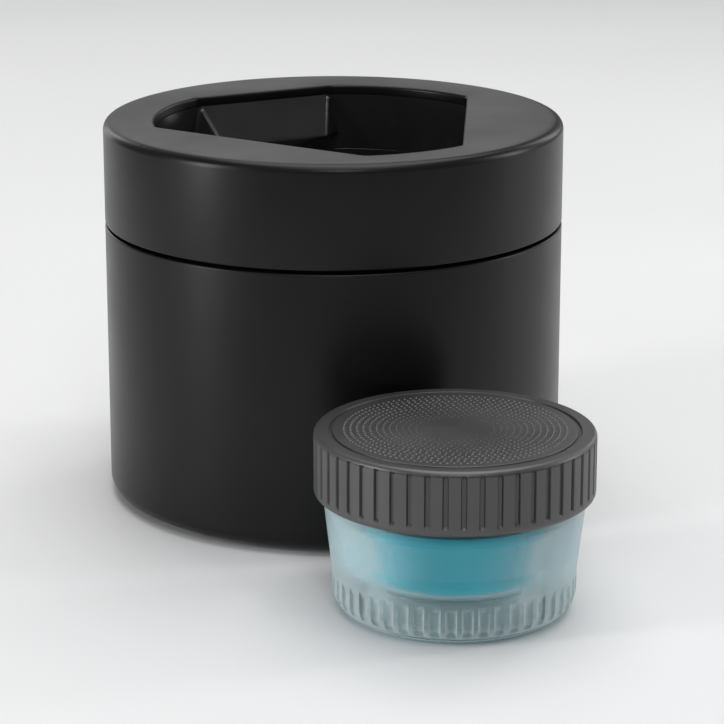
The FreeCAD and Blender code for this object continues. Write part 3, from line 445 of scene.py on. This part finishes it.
def arcBlock(inner, outer, low, high, span, bearing, edge=0.25, steps=24):
    # a block bent round the axis: a rounded rectangle in section, carried along an arc and closed at its ends
    section = roundedLine([
        (outer, low, edge), (outer, high, edge), (inner, high, edge), (inner, low, edge)], steps=3)
    angle = math.radians(bearing) + np.linspace(-0.5, 0.5, steps)[:, None] * math.radians(span)
    points = turned(section[None, :, 0], section[None, :, 1], angle)
    count = points.shape[1]
    index = np.arange(steps * count).reshape(steps, count)
    turnedOn = np.roll(index, -1, axis=1)
    faces = np.stack([index[:-1], index[1:], turnedOn[1:], turnedOn[:-1]], axis=-1).reshape(-1, 4).tolist()
    faces.append(index[0].tolist())
    faces.append(index[-1][::-1].tolist())
    return points.reshape(-1, 3), faces


def lowerShell():
    # the shell's profile carried all round, and a catch at each third of the turn
    bore = podRadius - lower["wall"]
    recess = bore - lower["heel"]
    flange = bore - lower["flangeReach"]
    line = roundedLine([
        (podRadius, baseGap, lower["baseRound"]), (podRadius, seamHeight, lower["seamRound"]),
        (bore, seamHeight, lower["edgeRound"]), (bore, lower["flangeTop"], lower["flangeRound"]),
        (flange, lower["flangeTop"], lower["edgeRound"]), (flange, lower["plateTop"], lower["plateRound"]),
        (recess, lower["plateTop"], lower["plateRound"]), (recess, baseGap, lower["edgeRound"])], steps=8)
    parts = [turnedSkin(line, lower["steps"], closed=True)]
    for third in range(3):
        parts.append(arcBlock(
            lower["catchIn"], bore + lower["catchRoot"], lower["catchLow"], lower["catchHigh"],
            lower["catchSpan"], 120 * third + lower["turn"]))
    return meshObject("lowerShell", parts)


finish(lowerShell(), satinBlack, "black_plastic", "base", "lower_housing")
print("lower shell made")


# foot ring: soft ring with fine grooves on its tread

foot = {
    "width": 4, "round": 0.5, "topRound": 0.15, "treadInset": 0.6, "treadSteps": 49,
    "grooves": 4, "grooveDepth": 0.25,
}


def footRing():
    # the ring's section with small hollows in its lower side
    outer = nodeRadius("foot_ring")
    inner = outer - foot["width"]
    top = nodeHeights("foot_ring")[1]
    tread = np.linspace(inner + foot["treadInset"], outer - foot["treadInset"], foot["treadSteps"])
    wave = np.sin(np.linspace(0, math.pi * foot["grooves"], foot["treadSteps"])) ** 4
    sides = roundedLine([
        (outer, 0, foot["round"]), (outer, top, foot["topRound"]),
        (inner, top, foot["topRound"]), (inner, 0, foot["round"])])
    line = np.concatenate([sides, np.stack([tread, foot["grooveDepth"] * wave], axis=-1)[1:-1]])
    return meshObject("footRing", [turnedSkin(line, closed=True)])


finish(footRing(), footRubber, "foot_rubber", "base", "foot_ring")
print("foot ring made")


# bowl: skirt under the opening with the back chute, a round wall, a dished floor with head seats and drains

bowl = {
    "radius": opening["radius"], "wall": 2, "outerRound": 0.5, "floor": podHeight - 31, "round": 14,
    "flat": 23.8, "flange": 1, "flangeRound": 0.2, "flangeTop": 1.5,
    "steps": 420, "floorSteps": 90, "skirtSteps": 22, "roundSteps": 15, "lipSteps": 6, "outerSteps": 14,
    "tabLow": rimUnder - 11, "tabRound": 0.8, "tabSlope": 0.8,
    "weldHeights": (-1.8, -1.42, -1.3, -1.18), "weldDepths": (0, 0, 0.12, 0),
    "seatCircle": 12.6, "seatRadius": 10.1, "seatDepth": 2, "seatBlend": 0.06,
    "suction": 2.4, "suctionDepth": 3,
    "drainCircle": 20.4, "drain": 1.2, "drainDepth": 2.2, "drainSpread": 18,
}
chute = {
    "reach": 5.5, "depth": 8, "top": 15.6, "bottom": 12.6, "rise": 2.2,
    "riseFrom": 0.02, "riseFade": 0.12,         # radians, beside the middle and past the round wall
    "span": 0.7, "follow": 1.1,                 # radians from the back that the chute can reach and can stir
    "before": 0.70, "after": 0.27, "edge": 0.42,    # degrees, widths of the chamfer and of the outer edge
    "faceSteps": 19, "bevelSteps": 6,
    "outerRow": 1.3, "innerRow": 0.7,           # rows beside the chamfer, as shares of its width
}
chamferBefore, chamferAfter, meetingEdge = (math.radians(chute[name]) for name in ("before", "after", "edge"))


def chuteShape(up):
    # how far the chute's face stands from the axis at a height, and half of its width there
    down = np.clip((rimUnder - up) / chute["depth"], 0, 1)
    face = opening["back"] - chute["reach"] * down
    return face, chute["top"] + (chute["bottom"] - chute["top"]) * down


def chuteAngles(up):
    # the directions, from the back, of the chute's upright edge and of its bevel's meeting with the wall
    face, half = chuteShape(up)
    across = (np.sqrt(2 * bowl["radius"] ** 2 - (half - face) ** 2) - half - face) / 2
    return np.arctan2(half, face), np.arctan2(half + across, face + across)


def bowlAngles():
    # Directions from the back for the bowl's grid, dense where the chute's edges run.
    before, after, edge = chamferBefore, chamferAfter, meetingEdge
    corner, meeting = (float(a) for a in chuteAngles(np.array(rimUnder - chute["depth"] / 2)))
    side = np.concatenate([
        np.linspace(0, corner - chute["outerRow"] * before, chute["faceSteps"]),
        corner + np.array([-before, -chute["innerRow"] * before, chute["innerRow"] * after, after]),
        np.linspace(corner + after, meeting - edge, chute["bevelSteps"])[1:],
        [meeting + edge], np.linspace(meeting + edge, math.pi, bowl["steps"] // 2)[1:]])
    lean = np.concatenate([side, -side[1:-1][::-1]])[:, None]
    return lean, corner, meeting


def followChute(lean, up, corner, meeting):
    # Shifts the directions at each height so that the same rows of the grid keep to the chute's two edges.
    toCorner, toMeeting = chuteAngles(up)
    side = np.abs(lean)
    past, start, end = corner + chamferAfter, meeting - meetingEdge, meeting + meetingEdge
    withCorner = np.interp(side, [0, corner - chamferBefore, past], [0, 1, 1])
    withMeeting = np.interp(side, [past, start, end, chute["follow"]], [0, 1, 1, 0])
    leaveCorner = np.interp(side, [past, start, end], [0, 1, 1])
    shift = withCorner * (toCorner - corner) + withMeeting * (toMeeting - meeting)
    shift = shift - leaveCorner * (toCorner - corner)
    return math.pi / 2 + np.sign(lean) * (side + shift)


def chuteRadius(angle, up):
    # The distance from the axis to the chute in a direction and at a height. Its face leans in on the way
    # down, and a bevel at 45 degrees on each side takes it back to the round wall.
    lean = np.abs(np.arctan2(np.sin(angle - math.pi / 2), np.cos(angle - math.pi / 2)))
    face, half = chuteShape(up)
    within = np.minimum(lean, chute["span"])
    level = face / np.cos(within)
    bevel = (face - half) / (np.cos(within) - np.sin(within))
    nearest = np.minimum(np.maximum(level, bevel), bowl["radius"])
    sharp = np.where(lean < chute["span"], nearest, bowl["radius"])
    # a straight chamfer takes as much off the face as off the bevel at the two upright edges
    corner = np.arctan2(half, face)
    start, end = corner - chamferBefore, corner + chamferAfter
    before, after = face / np.cos(start), (face - half) / (np.cos(end) - np.sin(end))
    chamfer = before + (after - before) * (lean - start) / (end - start)
    return np.where((lean > start) & (lean < end), chamfer, sharp)


def floorDepth(x, y, cell):
    # The floor's depth at a place: a cone with a flat bottom for each head seat, a hole in its middle, and
    # round drains between the seats. Points near a hole's edge are moved onto it, which makes it a circle.
    holes = []
    depth = np.zeros(x.shape)
    for third in thirds:
        bearing = -math.pi / 2 + third
        seatX, seatY = onCircle(bowl["seatCircle"], bearing)
        away = np.hypot(x - seatX, y - seatY)
        slope = np.clip(bowl["seatRadius"] - away, 0, bowl["seatDepth"])
        blended = smooth(slope / bowl["seatDepth"], -bowl["seatBlend"], 1 + bowl["seatBlend"])
        depth = np.maximum(depth, 0.5 * (slope + bowl["seatDepth"] * blended))
        holes.append((seatX, seatY, bowl["suction"], bowl["suctionDepth"]))
        for turn in (-bowl["drainSpread"], 0, bowl["drainSpread"]):
            drainX, drainY = onCircle(bowl["drainCircle"], bearing + math.pi + math.radians(turn))
            holes.append((drainX, drainY, bowl["drain"], bowl["drainDepth"]))
    for holeX, holeY, radius, deep in holes:
        away = np.maximum(np.hypot(x - holeX, y - holeY), 1e-6)
        edge = np.abs(away - radius) < cell / 2
        x = np.where(edge, holeX + (x - holeX) * radius / away, x)
        y = np.where(edge, holeY + (y - holeY) * radius / away, y)
        depth = depth + np.where(~edge & (away < radius), deep, 0)
    return x, y, depth


def shaverBowl():
    # A profile that runs for each direction from the floor's middle out, up the wall, under and up the skirt,
    # over the flange and back down the outside to the middle of the underside.
    lean, corner, meeting = bowlAngles()
    angle = math.pi / 2 + lean
    radius, wall, floor, big = bowl["radius"], bowl["wall"], bowl["floor"], bowl["round"]
    side = np.abs(lean)
    risen = smooth(side, chute["riseFrom"], corner)
    risen = risen * (1 - smooth(side, corner + meetingEdge, meeting + chute["riseFade"]))
    edgeLow = bowl["tabLow"] + chute["rise"] * risen
    bottom = edgeLow + bowl["tabRound"]
    heights = bottom + (rimUnder - bottom) * np.linspace(0, 1, bowl["skirtSteps"])[None]
    turns = followChute(lean, heights, corner, meeting)
    opened = np.concatenate([openingRadius(turns[:, i:i + 1]) for i in range(turns.shape[1])], axis=1)
    skirt = np.minimum(opened, chuteRadius(turns, heights))
    lip, lipTurn = skirt[:, :1], turns[:, :1]
    edge = np.minimum(bowl["tabRound"], (radius - lip) / 2)
    arc = np.linspace(0, math.pi / 2, bowl["roundSteps"])[None, 1:]
    under = np.linspace(0, 1, bowl["lipSteps"])[None, :-1]
    bend = np.linspace(0, math.pi / 2, bowl["lipSteps"])[None]
    outer, flange = radius + wall, radius + wall + bowl["flange"]
    outside = roundedLine([
        (flange - bowl["flangeTop"], rimUnder), (flange, rimUnder, bowl["flangeRound"]),
        (flange, rimUnder - wall, bowl["flangeRound"]), (outer, rimUnder - wall, bowl["outerRound"]),
        (outer, bowlUnder, big + wall), (0, bowlUnder)], closed=False, steps=bowl["outerSteps"])
    flat = np.linspace(0, bowl["flat"], bowl["floorSteps"])[None]
    # distance, height and direction along each run of the profile
    runs = [
        (flat, floor, angle),
        (bowl["flat"] + big * np.sin(arc), floor + big * (1 - np.cos(arc)), angle),
        (radius + np.array(bowl["weldDepths"]), bowl["tabLow"] + np.array(bowl["weldHeights"]), angle),
        (radius + (lip + edge - radius) * under, edgeLow - bowl["tabSlope"] * (1 - under),
         angle + (lipTurn - angle) * under),
        (lip + edge * (1 - np.sin(bend)), edgeLow + bowl["tabRound"] * (1 - np.cos(bend)), lipTurn),
        (skirt[:, 1:], heights[:, 1:], turns[:, 1:]),
        (outside[None, :, 0], outside[None, :, 1], angle)]
    points = np.concatenate([turned(*run) for run in runs], axis=1)
    count = bowl["floorSteps"]
    x, y, depth = floorDepth(points[:, :count, 0], points[:, :count, 1], bowl["flat"] / (count - 1))
    points[:, :count] = np.stack([x, y, floor - depth], axis=-1)
    return meshObject("shaverBowl", [skin(points, poleStart=True, poleEnd=True)])


finish(shaverBowl(), bowlBlack, "bowl_plastic", "top", "shaver_bowl", "bowl_guide")
print("bowl made")


# the thread that the cap and the cup's neck share

threadPitch = 2.1                      # the ridge's rise in a turn


def threadRidge(angle, up, start, fadeIn, fadeOut, crest, half):
    # A ridge between 0 and 1 that winds up from a height and fades in and out over two ranges of height. The
    # crest is level where it comes to 1 or more, and each side falls by 1 in half.
    ridge = np.zeros(up.shape)
    for turn in range(-1, 3):
        centre = start + (angle / fullTurn + turn) * threadPitch
        inRange = smooth(centre, *fadeIn) * (1 - smooth(centre, *fadeOut))
        ridge = np.maximum(ridge, inRange * np.clip(crest - np.abs(up - centre) / half, 0, 1))
    return ridge


# screw cap: ribbed side over a smooth lip, ring groove and rings of small dots on top, thread inside

cap = {
    "round": 1.0, "wall": 2, "top": 1.6, "lip": 1.6, "dish": 0.12, "dishEdge": 6,
    "ribs": 50, "notch": 0.6, "notchWidth": 1.0, "notchEnd": 0.75,
    "notchPlaces": (0, 0.55, 0.8, 1), "notchSlope": 0.72,    # shares of half of the notch's width
    "slopeEnd": 0.02, "ribEdge": 0.025, "ribPlaces": (0.3, 0.5),    # shares of the ribs' pitch
    "lowRows": (-0.15, 0.1, 0.4, 0.8), "highRows": (-0.6, -0.1),    # rows over the lip and at the notch's end
    "notchIn": (-0.1, 0.45), "notchOut": (-0.5, 0.1),               # where the notch deepens and ends
    "groove": 3.6, "grooveWidth": 0.7, "grooveDepth": 0.5, "grooveFoot": 0.1, "grooveRound": 0.15,
    "threadDepth": 0.8, "threadLow": 2.6, "threadIn": (1.6, 2.4), "threadOut": (2.6, 1.4),
    "threadCrest": 1.25, "threadHalf": 0.45, "threadSteps": 34, "threadInset": 0.5, "mouth": 0.3,
    "near": 0.05,                      # a point this close to a wall's radius belongs to that wall
    "dotGap": 1.25, "dotRadius": 0.38, "dotHeight": 0.28, "dotInner": 7.5, "dotOuter": 22.4,
    "dotFade": 4, "dotSmallest": 0.45, "dotSteps": 8,
    "dotHeights": (-0.25, 0.3, 0.78), "dotWidths": (1.0, 0.92, 0.55),
}


def screwCap():
    # A profile from the middle of the top's underside out, down the inside, round the lip, up the side and
    # back to the middle of the top. Each of the ribs' notches moves the side in by its depth.
    low, high = capLow[2], capHigh[2]
    half = cap["notchWidth"] / 2 / (fullTurn * capRadius / cap["ribs"])
    places = [half * place for place in cap["notchPlaces"]] + [half + cap["ribEdge"], *cap["ribPlaces"]]
    angle = patternAngles(cap["ribs"], [-place for place in places[1:-1]] + places)
    lip, notchEnd = low + cap["lip"], high - cap["notchEnd"]
    groove = capRadius - cap["groove"]
    grooveOuter, grooveFloor = groove + cap["grooveWidth"], high - cap["grooveDepth"]
    inside = capRadius - cap["wall"]
    under = high - cap["top"]
    lipSide = roundedLine([(inside, low), (capRadius, low, cap["round"]), (capRadius, lip)], closed=False)
    side = [(capRadius, lip + row) for row in cap["lowRows"]] + [(capRadius, (low + high) / 2)]
    side += [(capRadius, notchEnd + row) for row in cap["highRows"]]
    top = roundedLine([
        *side, (capRadius, high, cap["round"]), (grooveOuter, high, cap["grooveRound"]),
        (grooveOuter - cap["grooveFoot"], grooveFloor, cap["grooveFoot"]),
        (groove + cap["grooveFoot"], grooveFloor, cap["grooveFoot"]), (groove, high, cap["grooveRound"]),
        (groove - cap["dishEdge"], high - cap["dish"]), (0, high - cap["dish"])], closed=False)
    inset = cap["threadInset"]
    threadUp = np.linspace(under - inset, low + inset, cap["threadSteps"])
    line = np.concatenate([
        [[0, under], [inside - inset, under]], np.stack([np.full(len(threadUp), inside), threadUp], axis=-1),
        [[inside + cap["mouth"], low]], lipSide[1:-1], top])
    across, up = carried(line, angle)
    place = patternPlace(angle, cap["ribs"])
    inNotch = 1 - smooth(place, half * cap["notchSlope"], half + cap["slopeEnd"])
    level = smooth(up, *(lip + row for row in cap["notchIn"]))
    level = level * (1 - smooth(up, *(notchEnd + row for row in cap["notchOut"])))
    across = across - np.where(across > capRadius - cap["near"], cap["notch"] * inNotch * level, 0)
    ridge = threadRidge(
        angle, up, low + cap["threadLow"], [low + row for row in cap["threadIn"]],
        [under - row for row in cap["threadOut"]], cap["threadCrest"], cap["threadHalf"])
    across = across - np.where(np.abs(across - inside) < cap["near"], cap["threadDepth"] * ridge, 0)
    points = turned(across, up, angle, cartridgeAt)
    return meshObject("screwCap", [skin(points, poleStart=True, poleEnd=True)])


def capDots():
    # Low domes in rings on the cap's top. Each is a small cap of a ball, and they get smaller to the middle.
    places = []
    for number, ring in enumerate(np.arange(cap["dotInner"], cap["dotOuter"], cap["dotGap"])):
        count = int(round(fullTurn * ring / cap["dotGap"]))
        turn = fullTurn * (np.arange(count) + 0.5 * (number % 2)) / count
        grown = smooth(ring, cap["dotInner"], cap["dotOuter"] - cap["dotFade"])
        size = cap["dotRadius"] * (cap["dotSmallest"] + (1 - cap["dotSmallest"]) * grown)
        places.append(np.stack([ring * np.cos(turn), ring * np.sin(turn), np.full(count, size)], axis=-1))
    places = np.concatenate(places)
    x, y, size = (places[:, i, None, None] for i in range(3))
    heights, widths = (np.array(cap[name])[:, None] for name in ("dotHeights", "dotWidths"))
    steps = cap["dotSteps"]
    turn = np.linspace(0, fullTurn, steps, endpoint=False)
    base = capHigh[2] - cap["dish"]
    ringX = x + size * widths * np.cos(turn)
    ringY = y + size * widths * np.sin(turn)
    ringZ = base + cap["dotHeight"] * heights * (size / cap["dotRadius"]) + 0 * ringX
    domeTop = base + cap["dotHeight"] * size / cap["dotRadius"]
    shifted = ((ringX, ringY, ringZ), (x, y, domeTop))
    points = np.concatenate([
        np.stack([cartridgeAt[0] + a, cartridgeAt[1] + b, c], axis=-1).reshape(len(places), -1, 3)
        for a, b, c in shifted], axis=1)
    each = points.shape[1]
    index = np.arange(steps)
    following = (index + 1) % steps
    one = [index[::-1].tolist()]
    for level in (0, steps):
        low, high = level, level + steps
        one += np.stack([index + low, following + low, following + high, index + high], axis=-1).tolist()
    one += np.stack([index + 2 * steps, following + 2 * steps, np.full(steps, 3 * steps)], axis=-1).tolist()
    faces = [[i + k * each for i in face] for k in range(len(places)) for face in one]
    return meshObject("capDots", [(points.reshape(-1, 3), faces)])


finish(screwCap(), capGrey, "cap_plastic", "cap", "screw_cap")
finish(capDots(), capGrey, "cap_plastic", "cap")
print("cap made")


# cartridge cup: fluted foot with two fine rings, tapered wall, shoulder and threaded neck

cup = {
    "foot": cupRadius - 1.5, "round": 5, "recess": cupRadius - 8.1, "wall": 1.4, "floor": 8.5,
    "shoulder": 23, "shoulderInset": 0.05, "neck": cupRadius - 1.9, "innerRound": 3, "edgeRound": 0.4,
    "shoulderRound": 0.5, "wallRound": 0.8, "recessRound": 0.6, "rimWidth": 1, "runOut": 2,
    "flutes": 48, "fluteDepth": 0.55, "fluteWidth": 0.36, "flutePlaces": (0.10, 0.20, 0.30),
    "fluteIn": (1.8, 3.2), "fluteOut": (7.2, 8.4),      # heights where the flutes deepen and end
    "bandRows": (7.6, 6.8, 6, 5.2),                     # rows of the grid down the fluted band
    "ringHeights": (0.75, 1.5), "ringDepth": 0.3, "ringHalf": 0.28,
    "threadDepth": 0.7, "threadLow": 3.2, "threadIn": (2, 3), "threadOut": (3.2, 2),
    "threadCrest": 1.2, "threadHalf": 0.5, "threadSteps": 30, "threadTop": 0.6, "threadBottom": 1.2,
    "neckFoot": 1, "neckReach": 0.6, "neckTop": 0.5,    # last plain rows below and above the thread
    "near": 0.02,                      # a point this close to the neck's radius belongs to the neck
}


def frostedCup():
    # A profile from the middle of the recess under the floor out, up the outside, over the neck and down the
    # inside. The foot's band moves in by a scallop for each flute, and the neck out by its thread.
    foot, neck, wall, shoulder, floor = (cup[name] for name in ("foot", "neck", "wall", "shoulder", "floor"))
    soft, high, bandLow = cup["edgeRound"], cupHigh[2], cup["bandRows"][-1]
    places = [*cup["flutePlaces"], cup["fluteWidth"]]
    angle = patternAngles(cup["flutes"], [-place for place in places[::-1]] + [0] + places + [0.5])
    side = roundedLine([
        (cupRadius - cup["shoulderInset"], shoulder, cup["shoulderRound"]),
        (cupRadius, shoulder - wall, soft), (foot, floor, cup["wallRound"]),
        *((foot, row) for row in cup["bandRows"])], closed=False, steps=8)
    underEdge = cup["recess"] + cup["rimWidth"]
    heel = roundedLine([(foot, bandLow), (foot, 0, cup["round"]), (underEdge, 0)], closed=False, steps=34)
    recess = roundedLine([
        (underEdge, 0), (cup["recess"], 0, soft), (cup["recess"], floor - wall, cup["recessRound"]),
        (0, floor - wall)], closed=False)
    inside = roundedLine([
        (0, floor), (foot - wall, floor, cup["innerRound"]),
        (foot - wall, floor + cup["innerRound"] + wall, soft),
        (cupRadius - wall, shoulder - 2 * wall, cup["wallRound"]),
        (neck - wall, shoulder - wall, cup["shoulderRound"]), (neck - wall, high, soft), (neck, high, soft),
        (neck, high - cup["neckTop"])], closed=False, steps=7)
    threadUp = np.linspace(high - cup["threadTop"], shoulder + cup["threadBottom"], cup["threadSteps"])
    threads = np.stack([np.full(len(threadUp), neck), threadUp], axis=-1)
    corner = roundedLine([
        (neck, shoulder + cup["neckFoot"]), (neck, shoulder, soft),
        (cupRadius - cup["neckReach"], shoulder)], closed=False)
    line = np.concatenate([inside[:-1], threads, corner[1:], side, heel[1:], recess[1:]])[::-1]
    across, up = carried(line, angle)
    beforeNeck = np.arange(len(line))[None] < np.argmax(line[:, 1] >= high)
    outside = (across > cup["recess"] + cup["runOut"]) & beforeNeck
    place = patternPlace(angle, cup["flutes"])
    scallop = np.sqrt(np.maximum(1 - (place / cup["fluteWidth"]) ** 2, 0))
    level = smooth(up, *cup["fluteIn"]) * (1 - smooth(up, *cup["fluteOut"]))
    across = across - np.where(outside, cup["fluteDepth"] * scallop * level, 0)
    # two fine rings run round the foot under the flutes
    for height in cup["ringHeights"]:
        groove = 1 - smooth(np.abs(up - height), 0, cup["ringHalf"])
        across = across - np.where(outside, cup["ringDepth"] * groove, 0)
    ridge = threadRidge(
        angle, up, shoulder + cup["threadLow"], [shoulder + row for row in cup["threadIn"]],
        [high - row for row in cup["threadOut"]], cup["threadCrest"], cup["threadHalf"])
    onNeck = (np.abs(across - neck) < cup["near"]) & outside
    across = across + np.where(onNeck, cup["threadDepth"] * ridge, 0)
    points = turned(across, up, angle, cartridgeAt)
    return meshObject("frostedCup", [skin(points, poleStart=True, poleEnd=True)])


# cleaning fluid: a small meniscus at the wall, and a hole round the dip tube

fluid = {
    "tube": 3.5, "tubeLow": 10.7, "drop": 0.5, "wallDrop": 0.25, "wallWidth": 0.9,
    "tubeDrop": 0.2, "tubeWidth": 1,
}


def fluidFill():
    # a profile from the middle of the cup's floor out, up the wall, over the surface and down beside the tube
    low, high = nodeBox("cleaning_fluid")
    radius, surfaceUp = (high[0] - low[0]) / 2, high[2]
    line = roundedLine([
        (0, low[2]), (radius, low[2], cup["innerRound"]), (radius, surfaceUp),
        (radius - fluid["wallDrop"], surfaceUp - fluid["wallDrop"]),
        (radius - fluid["wallWidth"], surfaceUp - fluid["drop"]),
        (fluid["tube"] + fluid["tubeWidth"], surfaceUp - fluid["drop"]),
        (fluid["tube"], surfaceUp - fluid["tubeDrop"]), (fluid["tube"], fluid["tubeLow"]),
        (0, fluid["tubeLow"])], closed=False, steps=8)
    return meshObject("fluidFill", [turnedSkin(line, centre=cartridgeAt, poleStart=True, poleEnd=True)])


finish(frostedCup(), frostedPlastic, "frosted_cup", "cartridge", "cartridge_cup")
finish(fluidFill(), tealFluid, "teal_fluid", "cartridge", "cleaning_fluid")
print("cup and fluid made")


# screws: pan heads with a cross recess, and a threaded shank

screw = {
    "radius": 1.3, "head": 1.8, "headHeight": 1.1, "headRound": 0.1, "dome": 0.3, "faceEdge": 0.25,
    "rimInset": 0.2, "rimLow": 0.27, "rimHigh": 0.5, "neck": 0.1,
    "length": 5, "pitch": 0.7, "threadDepth": 0.22, "threadFade": (0.4, 1), "threadSteps": 46,
    "tip": 0.75, "tipLength": 0.15, "tipTaper": 0.6,
    "crossWidth": 0.34, "crossReach": 1.1, "crossDepth": 0.7, "crossEdge": 0.08, "crossEnd": 0.1,
    "steps": 64, "faceSteps": 22,
}


def screwSkin(centre, seat):
    # Rings from the middle of the head's domed face, which looks down, round its edge and up the shank to a
    # point. The cross is a hollow where either coordinate is small, and the thread a ridge round the shank.
    angle = around(screw["steps"])
    head, low = screw["head"], seat - screw["headHeight"]
    reach = np.linspace(0, head - screw["faceEdge"], screw["faceSteps"])[None]
    narrow = np.minimum(np.abs(reach * np.cos(angle)), np.abs(reach * np.sin(angle)))
    width, arm = screw["crossWidth"], screw["crossReach"]
    cross = 1 - smooth(narrow, width - screw["crossEdge"], width + screw["crossEdge"])
    cross = cross * (1 - smooth(reach, arm - screw["crossEnd"], arm + screw["crossEnd"]))
    faceUp = low + screw["dome"] * (reach / head) ** 2 + screw["crossDepth"] * cross
    side = roundedLine([
        (head - screw["rimInset"], low + screw["rimLow"]), (head, low + screw["rimHigh"], screw["headRound"]),
        (head, seat, screw["headRound"]), (screw["radius"], seat)], closed=False, steps=3)
    end = seat + screw["length"]
    shankUp = np.linspace(seat + screw["neck"], end - screw["tipTaper"], screw["threadSteps"])[None]
    wave = 0.5 + 0.5 * np.cos((shankUp / screw["pitch"] - angle / fullTurn) * fullTurn)
    grown = smooth(shankUp, *(seat + row for row in screw["threadFade"]))
    tip = np.array([[screw["tip"], end - screw["tipLength"]], [0, end]])
    runs = [
        (reach, faceUp), (side[None, :, 0], side[None, :, 1]),
        (screw["radius"] - screw["threadDepth"] * wave * grown, shankUp), (tip[None, :, 0], tip[None, :, 1])]
    points = np.concatenate([turned(*run, angle, centre) for run in runs], axis=1)
    return skin(points, poleStart=True, poleEnd=True)


def screwGroup(name, node):
    # three screws at the node's own circle and height
    circle = nodeRadius(node) - screw["head"]
    seat = nodeHeights(node)[0] + screw["headHeight"]
    return meshObject(name, [screwSkin(onCircle(circle, bearing), seat) for bearing in thirds])


finish(screwGroup("baseScrews", "base_screws"), zincSteel, "screw_steel", "base", "base_screws")
finish(screwGroup("clampScrews", "clamp_screws"), zincSteel, "screw_steel", "top", "clamp_screws")
print("screws made")


# CAD nodes that keep their own shape get their finish, with their loose triangles joined for shading

finishes = {
    "base_plate": innerBlack, "cartridge_cradle": innerBlack, "cradle_deck": innerBlack,
    "top_seal": sealRubber, "drain_strainer": etchedSteel, "duct_manifold": innerBlack,
    "spigot_seal": sealRubber, "bayonet_ring": innerBlack, "filter_insert": whitePlastic,
    "filter_mesh": filterMesh, "dip_tube": whitePlastic, "cap_liner": linerFoam,
}
weldDistance = 0.002 * mm
for node, material in finishes.items():
    item = nodes[node]
    item.data.materials.clear()
    item.data.materials.append(material)
    item.data.polygons.foreach_set("use_smooth", np.ones(len(item.data.polygons), dtype=bool))
    weld = item.modifiers.new("weld", "WELD")
    weld.merge_threshold = weldDistance
    split = item.modifiers.new("split", "EDGE_SPLIT")
    split.split_angle = sharpAngle
print("carried nodes finished")


# floor, light and camera, in metres

studio = {
    "floor": 4.0, "floorSteps": 128, "floorColour": (0.78, 0.78, 0.785), "floorShade": 0.985,
    "floorRoughness": (0.55, 0.65), "floorCloud": 6,
    "world": (0.86, 0.87, 0.88), "worldStrength": 0.24, "lampAim": (0, 0, 0.045),
}
view = {
    "azimuth": -27, "elevation": 16.2, "distance": 0.59, "aim": (-0.0085, -0.030, 0.036), "lens": 143,
    "sensor": 36,
}
# each lamp's turn in degrees from the camera's side, distance, height, size and power
lamps = {
    "overhead": (165, 0.25, 0.95, (0.8, 0.8), 5.4),
    "frontFill": (12, 0.30, 0.92, (0.6, 0.6), 2.4),
    "chuteGlint": (5, 0.60, 0.47, (0.12, 0.12), 0.6),
    "leftBand": (-64, 0.80, 0.22, (0.14, 0.44), 2.7),
    "leftEdge": (-146, 0.75, 0.22, (0.10, 0.45), 0.5),
    "rightBand": (99, 0.85, 0.32, (0.16, 0.44), 1.7),
    "rightBack": (140, 0.80, 0.34, (0.20, 0.40), 0.7),
    "backPanel": (-165, 1.10, 0.42, (0.9, 0.35), 0.7),
}


def paleFloor():
    # one flat disc under everything, with the faintest wandering of tone
    turn = around(studio["floorSteps"])[:, 0]
    rim = np.stack([np.cos(turn), np.sin(turn), 0 * turn], axis=-1) * studio["floor"] / mm
    floor = meshObject("floor", [(rim, [list(range(len(rim)))])])
    colour = studio["floorColour"]
    floor.data.materials.append(surface(
        "paleFloor", tuple(studio["floorShade"] * c for c in colour), colour, studio["floorRoughness"],
        cloud=studio["floorCloud"], relief=0))


def addLamp(name, turn, distance, height, size, power):
    # a soft panel that faces the pod
    bearing = math.radians(view["azimuth"] + turn)
    place = Vector((distance * math.sin(bearing), -distance * math.cos(bearing), height))
    light = bpy.data.lights.new(name, "AREA")
    light.shape = "RECTANGLE"
    light.size, light.size_y = size
    light.energy = power
    lamp = bpy.data.objects.new(name, light)
    lamp.location = place
    lamp.rotation_euler = (Vector(studio["lampAim"]) - place).to_track_quat("-Z", "Y").to_euler()
    bpy.context.scene.collection.objects.link(lamp)


paleFloor()
world = bpy.data.worlds.new("studioWorld")
bpy.context.scene.world = world
world.use_nodes = True
world.node_tree.nodes["Background"].inputs["Color"].default_value = (*studio["world"], 1)
world.node_tree.nodes["Background"].inputs["Strength"].default_value = studio["worldStrength"]
for name, values in lamps.items():
    addLamp(name, *values)
camera = bpy.data.cameras.new("camera")
camera.lens = view["lens"]
camera.sensor_width = view["sensor"]
eye = bpy.data.objects.new("camera", camera)
azimuth, elevation = math.radians(view["azimuth"]), math.radians(view["elevation"])
towards = Vector((
    math.sin(azimuth) * math.cos(elevation), -math.cos(azimuth) * math.cos(elevation), math.sin(elevation)))
eye.location = Vector(view["aim"]) + towards * view["distance"]
eye.rotation_euler = (-towards).to_track_quat("-Z", "Y").to_euler()
bpy.context.scene.collection.objects.link(eye)
bpy.context.scene.camera = eye
bpy.context.scene.view_settings.view_transform = "Standard"
print("studio set")
